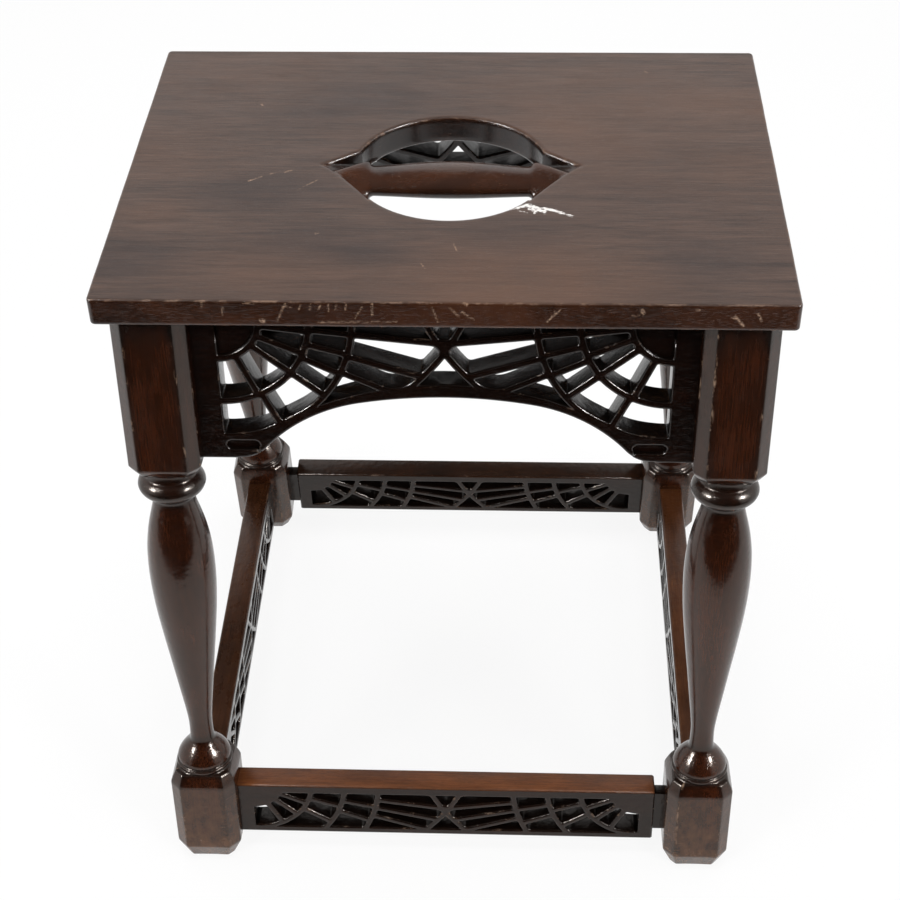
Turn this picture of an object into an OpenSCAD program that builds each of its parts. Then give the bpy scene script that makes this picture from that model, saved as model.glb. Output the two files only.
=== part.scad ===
// Joined wooden stool with a carved hand grip in the seat.
// Four turned legs, raked front to back, are tied by pierced friezes under the seat
// and by pierced stretchers near the floor.
// Millimetres. +Z up, the front is -Y, the origin is on the floor under the middle.

/* [Seat board] */
// Length of the seat board, side to side
seat_length = 360; // [300:1:440]
// Depth of the seat board, front to back
seat_depth = 265; // [230:1:320]
// Thickness of the seat board
seat_thickness = 16; // [13:0.5:20]
// Height of the seat top above the floor
seat_height = 407; // [339:1:489]
// How far the seat runs past the outer faces of the legs
seat_overhang = 6.7; // [4:0.1:12]
// Worn chamfer along the top and bottom edges of the seat
seat_ease = 1.2; // [0.6:0.1:2]
// Rounding of the four seat corners
seat_corner = 3; // [1:0.5:6]

/* [Hand grip] */
// Radius of the round hand opening
hole_radius = 53.4; // [44:0.1:65]
// How far the middle of the opening sits behind the middle of the seat
hole_offset = -2.5; // [-6:0.5:6]
// Distance from the middle of the opening to each pointed tip
tip_reach = 71.5; // [68:0.5:86]
// Wood left under the carved scoop where it reaches the opening
scoop_floor = 5; // [3:0.5:8]
// Width of the grip bar at its middle
grip_width_middle = 30; // [26:0.5:34]
// Width of the grip bar where it joins the seat
grip_width_end = 24; // [20:0.5:26]
// How far the grip bar stays inside each face of the seat
grip_sink = 0.5; // [0.2:0.1:2]

/* [Legs] */
// Width of the square blocks of each leg
leg_square = 40; // [33:0.5:48]
// Chamfer along the four long corners of the blocks
leg_chamfer = 6.6; // [4:0.1:9]
// Lean of the legs towards the front and the back, in degrees
leg_rake = 7.1; // [4:0.1:9]
// Length of the top block, along the leg
top_block = 98; // [92:1:120]
// Length of the bottom block, along the leg
bottom_block = 60; // [56:1:75]
// How far the foot is drawn in at the floor
foot_inset = 4.4; // [2:0.1:6]
// Height over which the foot is drawn in
foot_taper = 10; // [6:0.5:14]

/* [Friezes] */
// Thickness of the pierced frieze boards
frieze_thickness = 16; // [12:0.5:20]
// Height of the frieze boards at their ends
frieze_depth = 96; // [88:1:110]
// Height of the solid rail above the piercing
frieze_rail = 12.8; // [10:0.1:18]
// Width of the solid stile at each end
frieze_stile = 13.8; // [10:0.1:18]
// Height from the top of the piercing down to the crown of the arch
arch_crown = 43.4; // [38:0.1:50]
// Height from the top of the piercing down to the rim at the crown
field_crown = 35.1; // [30:0.1:40]
// Width of the ribs of the fretwork
rib = 4.4; // [3.4:0.1:5.4]

/* [Stretchers] */
// Thickness of the pierced stretcher boards
stretcher_thickness = 16.4; // [12:0.1:20]
// Height of the stretcher boards
stretcher_depth = 40; // [34:0.5:46]
// Height of the middle of the stretchers above the floor
stretcher_middle = 33; // [28:0.5:40]
// Width of the solid stile at each end
stretcher_stile = 9.5; // [7:0.5:14]
// Width of the solid border above the piercing
stretcher_top_rail = 7; // [5:0.5:9]
// Width of the solid border below the piercing
stretcher_bottom_rail = 5; // [4:0.5:8]
// Gap at the one loose shoulder of the front and back stretchers
open_shoulder = 6.6; // [0:0.1:8]

/* [Joints] */
// Clearance on each face of a tenon in its mortise
joint_clearance = 0.1; // [0.05:0.05:0.3]
// Wood left in a leg between its two tenons
tenon_gap = 3; // [1:0.5:6]
// Thickness of the tenons
tenon_thickness = 8; // [6:0.5:10]
// Height of the frieze tenons
frieze_tenon = 52; // [40:1:60]
// Height of the stretcher tenons
stretcher_tenon = 30; // [22:0.5:32]
// Length of each glue block along the friezes
block_reach = 60; // [52:1:66]
// Height of the glue blocks
block_height = 26; // [20:1:32]
// Diameter of the glue block screws
screw_diameter = 4; // [3.5:0.1:5]
// Wood left in the seat above each screw
screw_cover = 6; // [4:0.5:8]

/* [Node] */
// Sub-part to draw, or all of them

/* [Hidden] */

$fn = 96;
over = 1;
wood_dark = [0.17, 0.08, 0.05];
wood_seat = [0.26, 0.18, 0.15];
wood_plain = [0.55, 0.40, 0.26];
steel = [0.62, 0.62, 0.64];

// Heights and positions that follow from the sizes above.
seat_under = seat_height - seat_thickness;
half_square = leg_square / 2;
tenon_length = half_square - tenon_thickness / 2 - tenon_gap;
leg_x = seat_length / 2 - seat_overhang - half_square;
leg_top_y = seat_depth / 2 - seat_overhang - half_square;
leg_foot_y = leg_top_y + seat_under * tan(leg_rake);
leg_run = seat_under / cos(leg_rake);
face_x = leg_x - half_square;
turned_start = bottom_block;
turned_end = leg_run - top_block;

// Radii of the turned part, as [share of the turned length, share of half the block].
shoulder_share = 0.035;
shoulder_inset = 3.4;
collar_share = 0.026;
collar_inset = 4.6;
// The chamfer facets are drawn in a little further than the flats.
corner_draw = 0.4;
base_turning = [[0.020, 0.80], [0.034, 0.85], [0.045, 0.85], [0.049, 0.79], [0.055, 0.81],
                [0.062, 0.80], [0.070, 0.76], [0.080, 0.69], [0.090, 0.60], [0.098, 0.52],
                [0.105, 0.45], [0.113, 0.39]];
vase = [[0.125, 0.365], [0.148, 0.355], [0.180, 0.362], [0.225, 0.415], [0.280, 0.495],
        [0.335, 0.575], [0.390, 0.655], [0.440, 0.730], [0.490, 0.800], [0.540, 0.866],
        [0.590, 0.915], [0.640, 0.943], [0.686, 0.947], [0.729, 0.925], [0.763, 0.880],
        [0.797, 0.810], [0.826, 0.730], [0.850, 0.655], [0.870, 0.600]];
top_turning = [[0.882, 0.585], [0.890, 0.630], [0.896, 0.720], [0.902, 0.820], [0.911, 0.905],
               [0.923, 0.945], [0.935, 0.905], [0.944, 0.825], [0.950, 0.750], [0.960, 0.730],
               [0.980, 0.740]];
vase_steps = 3;

// Fan piercing: all sizes are measured from the upper corners of the pierced field.
frieze_fan_rise = 2;
frieze_rings = [22.5, 48.8, 71.2];
frieze_spokes = [[7, 23, 39, 66], [6, 16, 26, 39, 64], [6, 17, 25]];
side_rings = [22.5, 48.8];
side_spokes = [[7, 23, 39, 66], [8, 24, 42]];
cross_depth = 15.7;
cross_radius = 130;
cross_lean = 34;
rim_radius = 175;
stretcher_fan_rise = 7;
stretcher_rings = [15, 36.6, 57.2, 78.4];
stretcher_spokes = [[25, 43, 62], [18, 33], [13, 22], [8.5, 13.5, 18.5]];
stretcher_cross_radius = 110;
stretcher_rib = 3.8;

// Arch under the friezes: a flat crown, two rounder haunches and a reverse curve.
crown_radius = 260;
haunch_radius = 90;
lobe_radius = 20;
crown_half = 46;
side_arch_share = 0.62;
arc_steps = 8;

// Blind slot at each foot of a frieze.
slot_length = 17.6;
slot_width = 5.4;
slot_depth = 3;
slot_drop = 87.5;
slot_in = 9.5;
hub_sink = 2.5;

screw_bite = seat_thickness - screw_cover;
screw_head = screw_diameter * 2;
screw_head_height = screw_diameter * 0.6;
screw_spacing = 17;
screw_in = 22;
block_leg_gap = 0.5;

// Carving at the ends of the grip bar.
scoop_run = 5;
scoop_depth = seat_thickness - scoop_floor;
grip_thickness = seat_thickness - 2 * grip_sink;
ridge_tip = 0.12;
ridge_lap = 3;

function catmull(a, b, c, d, t) =
  0.5 * ((2 * b) + (c - a) * t + (2 * a - 5 * b + 4 * c - d) * t * t
         + (3 * b - a - 3 * c + d) * t * t * t);

function smooth(p, n) = [
  for (i = [0 : len(p) - 2], k = [0 : n - 1])
    catmull(p[max(i - 1, 0)], p[i], p[i + 1], p[min(i + 2, len(p) - 1)], k / n)
];

function turned(p) = [half_square * p[1], turned_start + (turned_end - turned_start) * p[0]];

// ---------------------------------------------------------------- placing helpers

// Draws its children, mirrored left to right when asked.
module flip_x(on) {
  if (on) mirror([1, 0, 0]) children();
  else children();
}

// Draws its children, mirrored front to back when asked.
module flip_y(on) {
  if (on) mirror([0, 1, 0]) children();
  else children();
}

// Frame of the raked back legs: X across, Y out of the board, Z up the leg.
module raked() {
  translate([0, leg_foot_y, 0]) rotate([leg_rake, 0, 0]) children();
}

// Everything between the floor and the underside of the seat.
module under_seat() {
  translate([-seat_length, -seat_length, 0])
    cube([2 * seat_length, 2 * seat_length, seat_under]);
}

// ---------------------------------------------------------------- seat

module seat_outline() {
  square([seat_length - 2 * seat_corner, seat_depth], center = true);
  square([seat_length, seat_depth - 2 * seat_corner], center = true);
  for (sx = [-1, 1], sy = [-1, 1])
    translate([sx * (seat_length / 2 - seat_corner), sy * (seat_depth / 2 - seat_corner)])
      circle(r = seat_corner);
}

// One long chamfer cutter lying on an edge of the seat.
module edge_cutter(run) {
  rotate([45, 0, 0])
    cube([run + 4 * over, seat_ease * sqrt(2), seat_ease * sqrt(2)], center = true);
}

module seat_board() {
  difference() {
    linear_extrude(seat_thickness) seat_outline();
    for (sz = [0, 1], s = [-1, 1]) {
      translate([0, s * seat_depth / 2, sz * seat_thickness]) edge_cutter(seat_length);
      translate([s * seat_length / 2, 0, sz * seat_thickness])
        rotate([0, 0, 90]) edge_cutter(seat_depth);
    }
  }
}

// The pointed outline, tangent to the round opening.
tangent_angle = acos(hole_radius / tip_reach);
module grip_outline() {
  circle(r = hole_radius);
  polygon([[tip_reach, 0],
           [hole_radius * cos(tangent_angle), hole_radius * sin(tangent_angle)],
           [-hole_radius * cos(tangent_angle), hole_radius * sin(tangent_angle)],
           [-tip_reach, 0],
           [-hole_radius * cos(tangent_angle), -hole_radius * sin(tangent_angle)],
           [hole_radius * cos(tangent_angle), -hole_radius * sin(tangent_angle)]]);
}

// Side view of the space carved above each scoop, from the tip down to the opening.
scoop_start = hole_radius - scoop_run;
module scoop_side() {
  polygon([[scoop_start - over, -scoop_depth], [scoop_start, -scoop_depth],
           [tip_reach, 0], [tip_reach, over], [scoop_start - over, over]]);
}

module scoops() {
  for (s = [0, 1])
    flip_x(s == 1)
      intersection() {
        translate([0, 0, -seat_thickness]) linear_extrude(2 * seat_thickness) grip_outline();
        rotate([90, 0, 0]) linear_extrude(2 * hole_radius, center = true) scoop_side();
      }
}

// Half width of the grip bar at a share of the way from its middle to the opening.
function grip_half_width(k) =
  (grip_width_end + (grip_width_middle - grip_width_end) * (1 + cos(180 * k)) / 2) / 2;

// Round bar, flattened to its thickness and turned about its own length.
grip_flat = grip_thickness / grip_width_middle;
module grip_bar() {
  profile = [for (k = [-1 : 0.2 : 1.01]) [grip_half_width(k), k * hole_radius]];
  scale([1, 1, grip_flat])
    rotate([0, 90, 0])
      rotate_extrude() polygon(concat([[0, -hole_radius]], profile, [[0, hole_radius]]));
}

// Ridge that carries the end of the bar up the scoop to the tip, flush with the seat.
module grip_ridge() {
  run = tip_reach - hole_radius;
  end_thick = grip_width_end * grip_flat / 2;
  rise = seat_thickness / 2 - end_thick * ridge_tip;
  climb = atan(rise / run);
  translate([hole_radius, 0, 0]) rotate([0, 90 - climb, 0]) scale([grip_flat, 1, 1])
    translate([0, 0, -ridge_lap])
      cylinder(r1 = grip_width_end / 2, r2 = grip_width_end / 2 * ridge_tip,
               h = ridge_lap + run / cos(climb));
}

module seat() {
  color(wood_seat) translate([0, 0, seat_under])
    difference() {
      union() {
        difference() {
          seat_board();
          translate([0, hole_offset, -over])
            linear_extrude(seat_thickness + 2 * over) circle(r = hole_radius);
          translate([0, hole_offset, seat_thickness]) scoops();
        }
        translate([0, hole_offset, seat_thickness / 2]) grip_bar();
        intersection() {
          translate([0, hole_offset, seat_thickness / 2])
            for (s = [0, 1]) flip_x(s == 1) grip_ridge();
          seat_board();
        }
      }
      for (sx = [-1, 1], sy = [-1, 1])
        flip_x(sx < 0) flip_y(sy < 0) screw_places() seat_pilot();
    }
}

// ---------------------------------------------------------------- legs

module block_section() {
  difference() {
    square(leg_square, center = true);
    for (a = [45 : 90 : 315])
      rotate(a) translate([half_square * sqrt(2) - leg_chamfer / sqrt(2) + half_square, 0])
        square([leg_square, leg_square], center = true);
  }
}

// Eight sloped cuts that draw the end of a block in; the block is above the origin.
module draw_in(inset, height) {
  lean = atan(inset / height);
  for (i = [0 : 7]) {
    corner = half_square * sqrt(2) - leg_chamfer / sqrt(2) - corner_draw;
    apothem = i % 2 == 0 ? half_square : corner;
    rotate([0, 0, 45 * i]) translate([apothem - inset, 0, 0]) rotate([0, lean, 0])
      translate([half_square, 0, 0])
        cube([leg_square, leg_square, 3 * height], center = true);
  }
}

module leg_blank() {
  shoulder = shoulder_share * (turned_end - turned_start);
  collar = collar_share * (turned_end - turned_start);
  difference() {
    translate([0, 0, -leg_square])
      linear_extrude(leg_square + turned_start + shoulder) block_section();
    draw_in(foot_inset, foot_taper);
    translate([0, 0, turned_start + shoulder]) mirror([0, 0, 1]) draw_in(shoulder_inset, shoulder);
  }
  rotate_extrude()
    polygon(concat([[0, turned_start]], [for (p = base_turning) turned(p)],
                   [for (p = smooth(vase, vase_steps)) turned(p)],
                   [for (p = top_turning) turned(p)], [[0, turned_end]]));
  difference() {
    translate([0, 0, turned_end - collar])
      linear_extrude(top_block + collar + leg_square) block_section();
    translate([0, 0, turned_end - collar]) draw_in(collar_inset, collar);
  }
}

// The leg at the back right; the others are its mirror images.
module leg(left, front) {
  color(wood_dark) flip_x(left) flip_y(front)
    difference() {
      intersection() {
        translate([leg_x, 0, 0]) raked() leg_blank();
        under_seat();
      }
      raked() frieze_tenon_bar(joint_clearance);
      raked() stretcher_tenon_bar(joint_clearance, 0);
      side_frieze_tenons(joint_clearance);
      side_stretcher_tenons(joint_clearance);
    }
}

// ---------------------------------------------------------------- fretwork

module ring(r, w) {
  difference() {
    circle(r = r + w / 2);
    circle(r = r - w / 2);
  }
}

module spoke(angle, r1, r2, w) {
  rotate(-angle) translate([r1, -w / 2]) square([r2 - r1, w]);
}

// Circle that carries the crossing rib of the left fan.
module cross_place(depth, radius) {
  translate([-radius * cos(cross_lean), radius * sin(cross_lean) - depth]) children();
}

// Ribs of the left fan; its centre is at the upper left of a field of half width a.
module fan(a, rise, rings, spokes, depth, radius, w) {
  last = len(rings) - 1;
  translate([-a, rise]) {
    for (r = rings) ring(r, w);
    circle(r = rings[0]);
    for (i = [0 : last - 1], s = spokes[i]) spoke(s, rings[i], rings[i + 1], w);
  }
  intersection() {
    translate([-a, rise]) for (s = spokes[last]) spoke(s, rings[last], 2 * a, w);
    cross_place(depth, radius) circle(r = radius);
  }
  cross_place(depth, radius) ring(radius, w);
}

// The holes of a fretted board: the field less the ribs of both fans.
module fret(a, rise, rings, spokes, depth, radius, w) {
  difference() {
    children();
    fan(a, rise, rings, spokes, depth, radius, w);
    mirror([1, 0]) fan(a, rise, rings, spokes, depth, radius, w);
  }
}

// ---------------------------------------------------------------- friezes

// Points along an arc from angle f to angle t, measured from straight up, clockwise.
function arc(c, r, f, t, n) = [
  for (i = [0 : n]) let (a = f + (t - f) * i / n) [c[0] + r * sin(a), c[1] + r * cos(a)]
];

// Right half of the arch: x1 is the half width of the flat crown, r1 its radius and r2
// the radius of the haunch; the lobe's reverse curve ends level with the board's foot.
function half_arch(x1, r1, r2) =
  let (foot = frieze_depth - frieze_rail,
       a1 = asin(x1 / r1),
       c1 = [0, -arch_crown - r1],
       c2 = [(r1 - r2) * sin(a1), c1[1] + (r1 - r2) * cos(a1)],
       a2 = acos((lobe_radius - foot - c2[1]) / (r2 + lobe_radius)),
       c3 = [c2[0] + (r2 + lobe_radius) * sin(a2), lobe_radius - foot])
  concat(arc(c1, r1, 0, a1, arc_steps), arc(c2, r2, a1, a2, arc_steps),
         arc(c3, lobe_radius, 180 + a2, 180, arc_steps));

// Space under the arch.
module arch(x1, r1, r2) {
  right = half_arch(x1, r1, r2);
  last = len(right) - 1;
  left = [for (i = [last : -1 : 1]) [-right[i][0], right[i][1]]];
  polygon(concat(left, right, [[right[last][0], -2 * frieze_depth],
                               [-right[last][0], -2 * frieze_depth]]));
}

// Field of the piercing, bounded below by the upper edge of the rim.
module frieze_field(a, slope, rings) {
  floor_y = frieze_depth - frieze_rail;
  difference() {
    polygon([[-a, 0], [a, 0], [a + slope * floor_y, -floor_y], [-a - slope * floor_y, -floor_y]]);
    translate([0, -field_crown - rim_radius]) circle(r = rim_radius);
    for (s = [0, 1])
      mirror([s, 0]) difference() {
        translate([-a - floor_y, -floor_y - over])
          square([floor_y + rings[len(rings) - 1] / 2, floor_y + over]);
        translate([-a, frieze_fan_rise]) circle(r = rings[len(rings) - 1]);
      }
  }
}

module slot_shape() {
  square([slot_length - slot_width, slot_width], center = true);
  for (s = [-1, 1]) translate([s * (slot_length - slot_width) / 2, 0]) circle(d = slot_width);
}

// Board outline, piercing and blind slots; the top of the board is at y = 0.
module frieze_outline(half, slope) {
  polygon([[-half + slope * over, over], [half - slope * over, over],
           [half + slope * frieze_depth, -frieze_depth],
           [-half - slope * frieze_depth, -frieze_depth]]);
}

module frieze_board(half, slope, rings, spokes, radius, x1, r1, r2) {
  a = half + slope * frieze_rail - frieze_stile;
  difference() {
    linear_extrude(frieze_thickness, center = true) difference() {
      frieze_outline(half, slope);
      translate([0, -frieze_rail]) arch(x1, r1, r2);
      translate([0, -frieze_rail])
        fret(a, frieze_fan_rise, rings, spokes, cross_depth, radius, rib)
          frieze_field(a, slope, rings);
    }
    for (s = [0, 1])
      mirror([s, 0, 0]) {
        translate([-a - slope * slot_drop + slot_in - over, -slot_drop,
                   frieze_thickness / 2 - slot_depth])
          linear_extrude(frieze_thickness) slot_shape();
        translate([0, 0, frieze_thickness / 2 - hub_sink])
          linear_extrude(frieze_thickness) intersection() {
            translate([-a, frieze_fan_rise - frieze_rail]) circle(r = rings[0] - rib / 2);
            translate([-a, -frieze_depth]) square([2 * a, frieze_depth - frieze_rail]);
          }
      }
  }
}

// Tenons at both ends of the front and back friezes, in the raked frame.
frieze_tenon_middle = leg_run - frieze_depth / 2 - 2;
module frieze_tenon_bar(grow) {
  for (s = [-1, 1])
    translate([s * (face_x + tenon_length / 2), 0, frieze_tenon_middle])
      cube([tenon_length + 2 * grow, tenon_thickness + 2 * grow, frieze_tenon + 2 * grow],
           center = true);
}

module back_frieze() {
  intersection() {
    raked() {
      translate([0, 0, leg_run]) rotate([90, 0, 180])
        frieze_board(face_x, 0, frieze_rings, frieze_spokes, cross_radius,
                     crown_half, crown_radius, haunch_radius);
      frieze_tenon_bar(0);
    }
    under_seat();
  }
}

// Half length of the side boards between the raked legs at a height above the floor.
rake_slope = tan(leg_rake);
function side_half(z) = leg_foot_y - z * rake_slope - half_square / cos(leg_rake);

// A bar between the legs, following their rake, from height z1 to z2 and past both shoulders.
module side_bar(z1, z2, past, thick) {
  rotate([90, 0, 90]) linear_extrude(thick, center = true)
    polygon([[-side_half(z1) - past, z1], [side_half(z1) + past, z1],
             [side_half(z2) + past, z2], [-side_half(z2) - past, z2]]);
}

side_tenon_top = frieze_tenon_middle * cos(leg_rake) + frieze_tenon / 2;
module side_frieze_tenons(grow) {
  translate([leg_x, 0, 0])
    difference() {
      side_bar(side_tenon_top - frieze_tenon - grow, side_tenon_top + grow,
               tenon_length + grow, tenon_thickness + 2 * grow);
      side_bar(side_tenon_top - frieze_tenon - 2 * grow - over,
               side_tenon_top + 2 * grow + over, -over, tenon_thickness + 4 * grow + over);
    }
}

module right_frieze() {
  translate([leg_x, 0, 0]) {
    intersection() {
      translate([0, 0, seat_under]) rotate([90, 0, 90])
        frieze_board(side_half(seat_under), rake_slope, side_rings, side_spokes,
                     cross_radius * side_arch_share, crown_half * side_arch_share,
                     crown_radius * side_arch_share, haunch_radius * side_arch_share);
      under_seat();
    }
  }
  side_frieze_tenons(0);
}

module frieze_front() { color(wood_dark) mirror([0, 1, 0]) back_frieze(); }
module frieze_back() { color(wood_dark) back_frieze(); }
module frieze_right() { color(wood_dark) right_frieze(); }
module frieze_left() { color(wood_dark) mirror([1, 0, 0]) right_frieze(); }

// ---------------------------------------------------------------- stretchers

module stretcher_fret(half, middle, slope) {
  a = half - stretcher_stile;
  field = stretcher_depth - stretcher_top_rail - stretcher_bottom_rail;
  translate([middle, stretcher_depth / 2 - stretcher_top_rail])
    fret(a, stretcher_fan_rise, stretcher_rings, stretcher_spokes, field / 2,
         stretcher_cross_radius, stretcher_rib)
      polygon([[-a, 0], [a, 0], [a + slope * field, -field], [-a - slope * field, -field]]);
}

stretcher_run = stretcher_middle / cos(leg_rake);
module stretcher_tenon_bar(grow, extra) {
  for (s = [-1, 1]) {
    from = s < 0 ? face_x - extra - over : face_x - over;
    translate([s * (from + face_x + tenon_length) / 2, 0, stretcher_run])
      cube([face_x + tenon_length - from + 2 * grow, tenon_thickness + 2 * grow,
            stretcher_tenon + 2 * grow], center = true);
  }
}

// Back stretcher: its left shoulder stands off the leg and shows the tenon.
module back_stretcher() {
  raked() {
    translate([0, 0, stretcher_run]) rotate([90, 0, 0])
      linear_extrude(stretcher_thickness, center = true) difference() {
        translate([-face_x + open_shoulder, -stretcher_depth / 2])
          square([2 * face_x - open_shoulder, stretcher_depth]);
        stretcher_fret(face_x - open_shoulder / 2, open_shoulder / 2, 0);
      }
    stretcher_tenon_bar(0, open_shoulder);
  }
}

module side_stretcher_tenons(grow) {
  translate([leg_x, 0, 0])
    difference() {
      side_bar(stretcher_middle - stretcher_tenon / 2 - grow,
               stretcher_middle + stretcher_tenon / 2 + grow,
               tenon_length + grow, tenon_thickness + 2 * grow);
      side_bar(stretcher_middle - stretcher_tenon / 2 - 2 * grow - over,
               stretcher_middle + stretcher_tenon / 2 + 2 * grow + over,
               -over, tenon_thickness + 4 * grow + over);
    }
}

module right_stretcher() {
  low = stretcher_middle - stretcher_depth / 2;
  translate([leg_x, 0, 0])
    difference() {
      side_bar(low, low + stretcher_depth, 0, stretcher_thickness);
      translate([0, 0, stretcher_middle]) rotate([90, 0, 90])
        linear_extrude(2 * stretcher_thickness, center = true)
          stretcher_fret(side_half(stretcher_middle + stretcher_depth / 2), 0, rake_slope);
    }
  side_stretcher_tenons(0);
}

module stretcher_back() { color(wood_dark) back_stretcher(); }
module stretcher_front() { color(wood_dark) rotate([0, 0, 180]) back_stretcher(); }
module stretcher_right() { color(wood_dark) right_stretcher(); }
module stretcher_left() { color(wood_dark) mirror([1, 0, 0]) right_stretcher(); }

// ---------------------------------------------------------------- glue blocks and screws

// Inner corner of the friezes at the underside of the seat, at the back right.
block_x = leg_x - frieze_thickness / 2;
block_y = leg_top_y - frieze_thickness / 2 / cos(leg_rake);

// Draws a screw feature at the two screw places of the back right block.
module screw_places() {
  for (k = [-0.5, 0.5])
    translate([block_x - screw_in + k * screw_spacing,
               block_y - screw_in - k * screw_spacing, 0]) children();
}

module glue_block_shape() {
  difference() {
    translate([block_x, block_y, seat_under - block_height])
      linear_extrude(block_height)
        polygon([[0, block_height], [0, -block_reach], [-block_reach, 0],
                 [-block_reach, block_height]]);
    raked() translate([-seat_length, -frieze_thickness / 2, 0])
      cube([2 * seat_length, seat_depth, 2 * leg_run]);
    raked() translate([leg_x - half_square - block_leg_gap, -half_square - block_leg_gap, 0])
      cube([leg_square, leg_square, 2 * leg_run]);
    screw_places() translate([0, 0, seat_under - block_height - over])
      cylinder(d = screw_diameter + 2 * joint_clearance, h = block_height + 2 * over);
    screw_places() translate([0, 0, seat_under - block_height - over])
      cylinder(d = screw_head + 2 * joint_clearance, h = screw_head_height + over);
  }
}

module seat_pilot() {
  translate([0, 0, -over])
    cylinder(d = screw_diameter + 2 * joint_clearance, h = screw_bite + joint_clearance + over);
}

module glue_block(left, front) {
  color(wood_plain) flip_x(left) flip_y(front) glue_block_shape();
}

module screw() {
  cylinder(d = screw_head, h = screw_head_height);
  cylinder(d = screw_diameter, h = block_height + screw_bite);
}

module block_screws() {
  color(steel) for (left = [false, true], front = [false, true])
    flip_x(left) flip_y(front)
      screw_places() translate([0, 0, seat_under - block_height]) screw();
}

// ---------------------------------------------------------------- drawing

seat();
leg(true, true);  // leg_front_left
leg(false, true);  // leg_front_right
leg(true, false);  // leg_back_left
leg(false, false);  // leg_back_right
frieze_front();
frieze_back();
frieze_left();
frieze_right();
stretcher_front();
stretcher_back();
stretcher_left();
stretcher_right();
glue_block(true, true);  // glue_block_front_left
glue_block(false, true);  // glue_block_front_right
glue_block(true, false);  // glue_block_back_left
glue_block(false, false);  // glue_block_back_right
block_screws();
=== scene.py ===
"""Looks of the joined wooden stool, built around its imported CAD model.

The stool's shapes are worked out in millimetres and scaled once, when a mesh is made. The studio
round it is in metres.
"""

import math

import bpy
import numpy as np
from mathutils import Matrix, Vector
from mathutils.geometry import delaunay_2d_cdt, tessellate_polygon


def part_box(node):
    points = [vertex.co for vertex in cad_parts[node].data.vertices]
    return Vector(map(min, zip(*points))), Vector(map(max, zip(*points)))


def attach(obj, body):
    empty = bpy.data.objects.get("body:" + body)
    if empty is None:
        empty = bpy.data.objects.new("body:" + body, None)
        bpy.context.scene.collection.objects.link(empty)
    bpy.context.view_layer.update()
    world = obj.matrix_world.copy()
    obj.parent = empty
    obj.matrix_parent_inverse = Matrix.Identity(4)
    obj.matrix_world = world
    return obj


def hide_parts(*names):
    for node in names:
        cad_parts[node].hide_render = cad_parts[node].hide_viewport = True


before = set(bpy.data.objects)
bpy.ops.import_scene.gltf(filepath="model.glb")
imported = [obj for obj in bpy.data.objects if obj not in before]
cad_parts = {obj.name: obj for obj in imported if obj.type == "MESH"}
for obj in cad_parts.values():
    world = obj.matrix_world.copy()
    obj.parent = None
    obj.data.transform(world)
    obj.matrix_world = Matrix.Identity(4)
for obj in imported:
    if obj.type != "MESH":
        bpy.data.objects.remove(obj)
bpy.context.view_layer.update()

MM = 0.001

# ---------------------------------------------------------------- sizes


def box_mm(node):
    """Lowest and highest corners of a CAD node, in millimetres."""
    low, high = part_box(node)
    return np.array(low) / MM, np.array(high) / MM


seat_low, seat_high = box_mm("seat")
SEAT_UNDER = seat_low[2]
SEAT_TOP = seat_high[2]
SEAT_HALF_LENGTH = (seat_high[0] - seat_low[0]) / 2
SEAT_HALF_DEPTH = (seat_high[1] - seat_low[1]) / 2
SEAT_HALF_THICKNESS = (SEAT_TOP - SEAT_UNDER) / 2

leg_low, leg_high = box_mm("leg_back_right")
HALF_SQUARE = (leg_high[0] - leg_low[0]) / 2
LEG_X = (leg_high[0] + leg_low[0]) / 2
FACE_X = LEG_X - HALF_SQUARE
RAKE = math.radians(7.1)
RAKE_SLOPE = math.tan(RAKE)
SEAT_OVERHANG = SEAT_HALF_LENGTH - LEG_X - HALF_SQUARE
LEG_TOP_Y = SEAT_HALF_DEPTH - SEAT_OVERHANG - HALF_SQUARE
LEG_FOOT_Y = LEG_TOP_Y + SEAT_UNDER * RAKE_SLOPE
LEG_RUN = SEAT_UNDER / math.cos(RAKE)

FRIEZE_DEPTH = 96
FRIEZE_RAIL = 12.8
FRIEZE_STILE = 13.8
ARCH_CROWN = 43.4
FIELD_CROWN = 35.1
RIM_RADIUS = 175
FRIEZE_RIB = 4.4
# The top edge of the pierced field bows by 0.14 mm at most, to keep its points off one line.
TOP_BOW = 0.00001
FRIEZE_RISE = 2
FRIEZE_RINGS = [22.5, 48.8, 71.2]
FRIEZE_SPOKES = [[7, 23, 39, 66], [6, 16, 26, 39, 64], [6, 17, 25]]
SIDE_RINGS = [22.5, 48.8]
SIDE_SPOKES = [[7, 23, 39, 66], [8, 24, 42]]
CROSS_DEPTH = 15.7
CROSS_RADIUS = 130
CROSS_LEAN = math.radians(34)
CROWN_RADIUS = 260
HAUNCH_RADIUS = 90
LOBE_RADIUS = 20
CROWN_HALF = 46
SIDE_ARCH_SHARE = 0.62
HUB_SINK = 2.5
SLOT_LENGTH = 17.6
SIDE_SLOT_LENGTH = 13.5
SLOT_WIDTH = 5.4
SLOT_SINK = 3
SLOT_DROP = 87.5
SLOT_IN = 9.5
SIDE_SLOT_IN = 2

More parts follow.
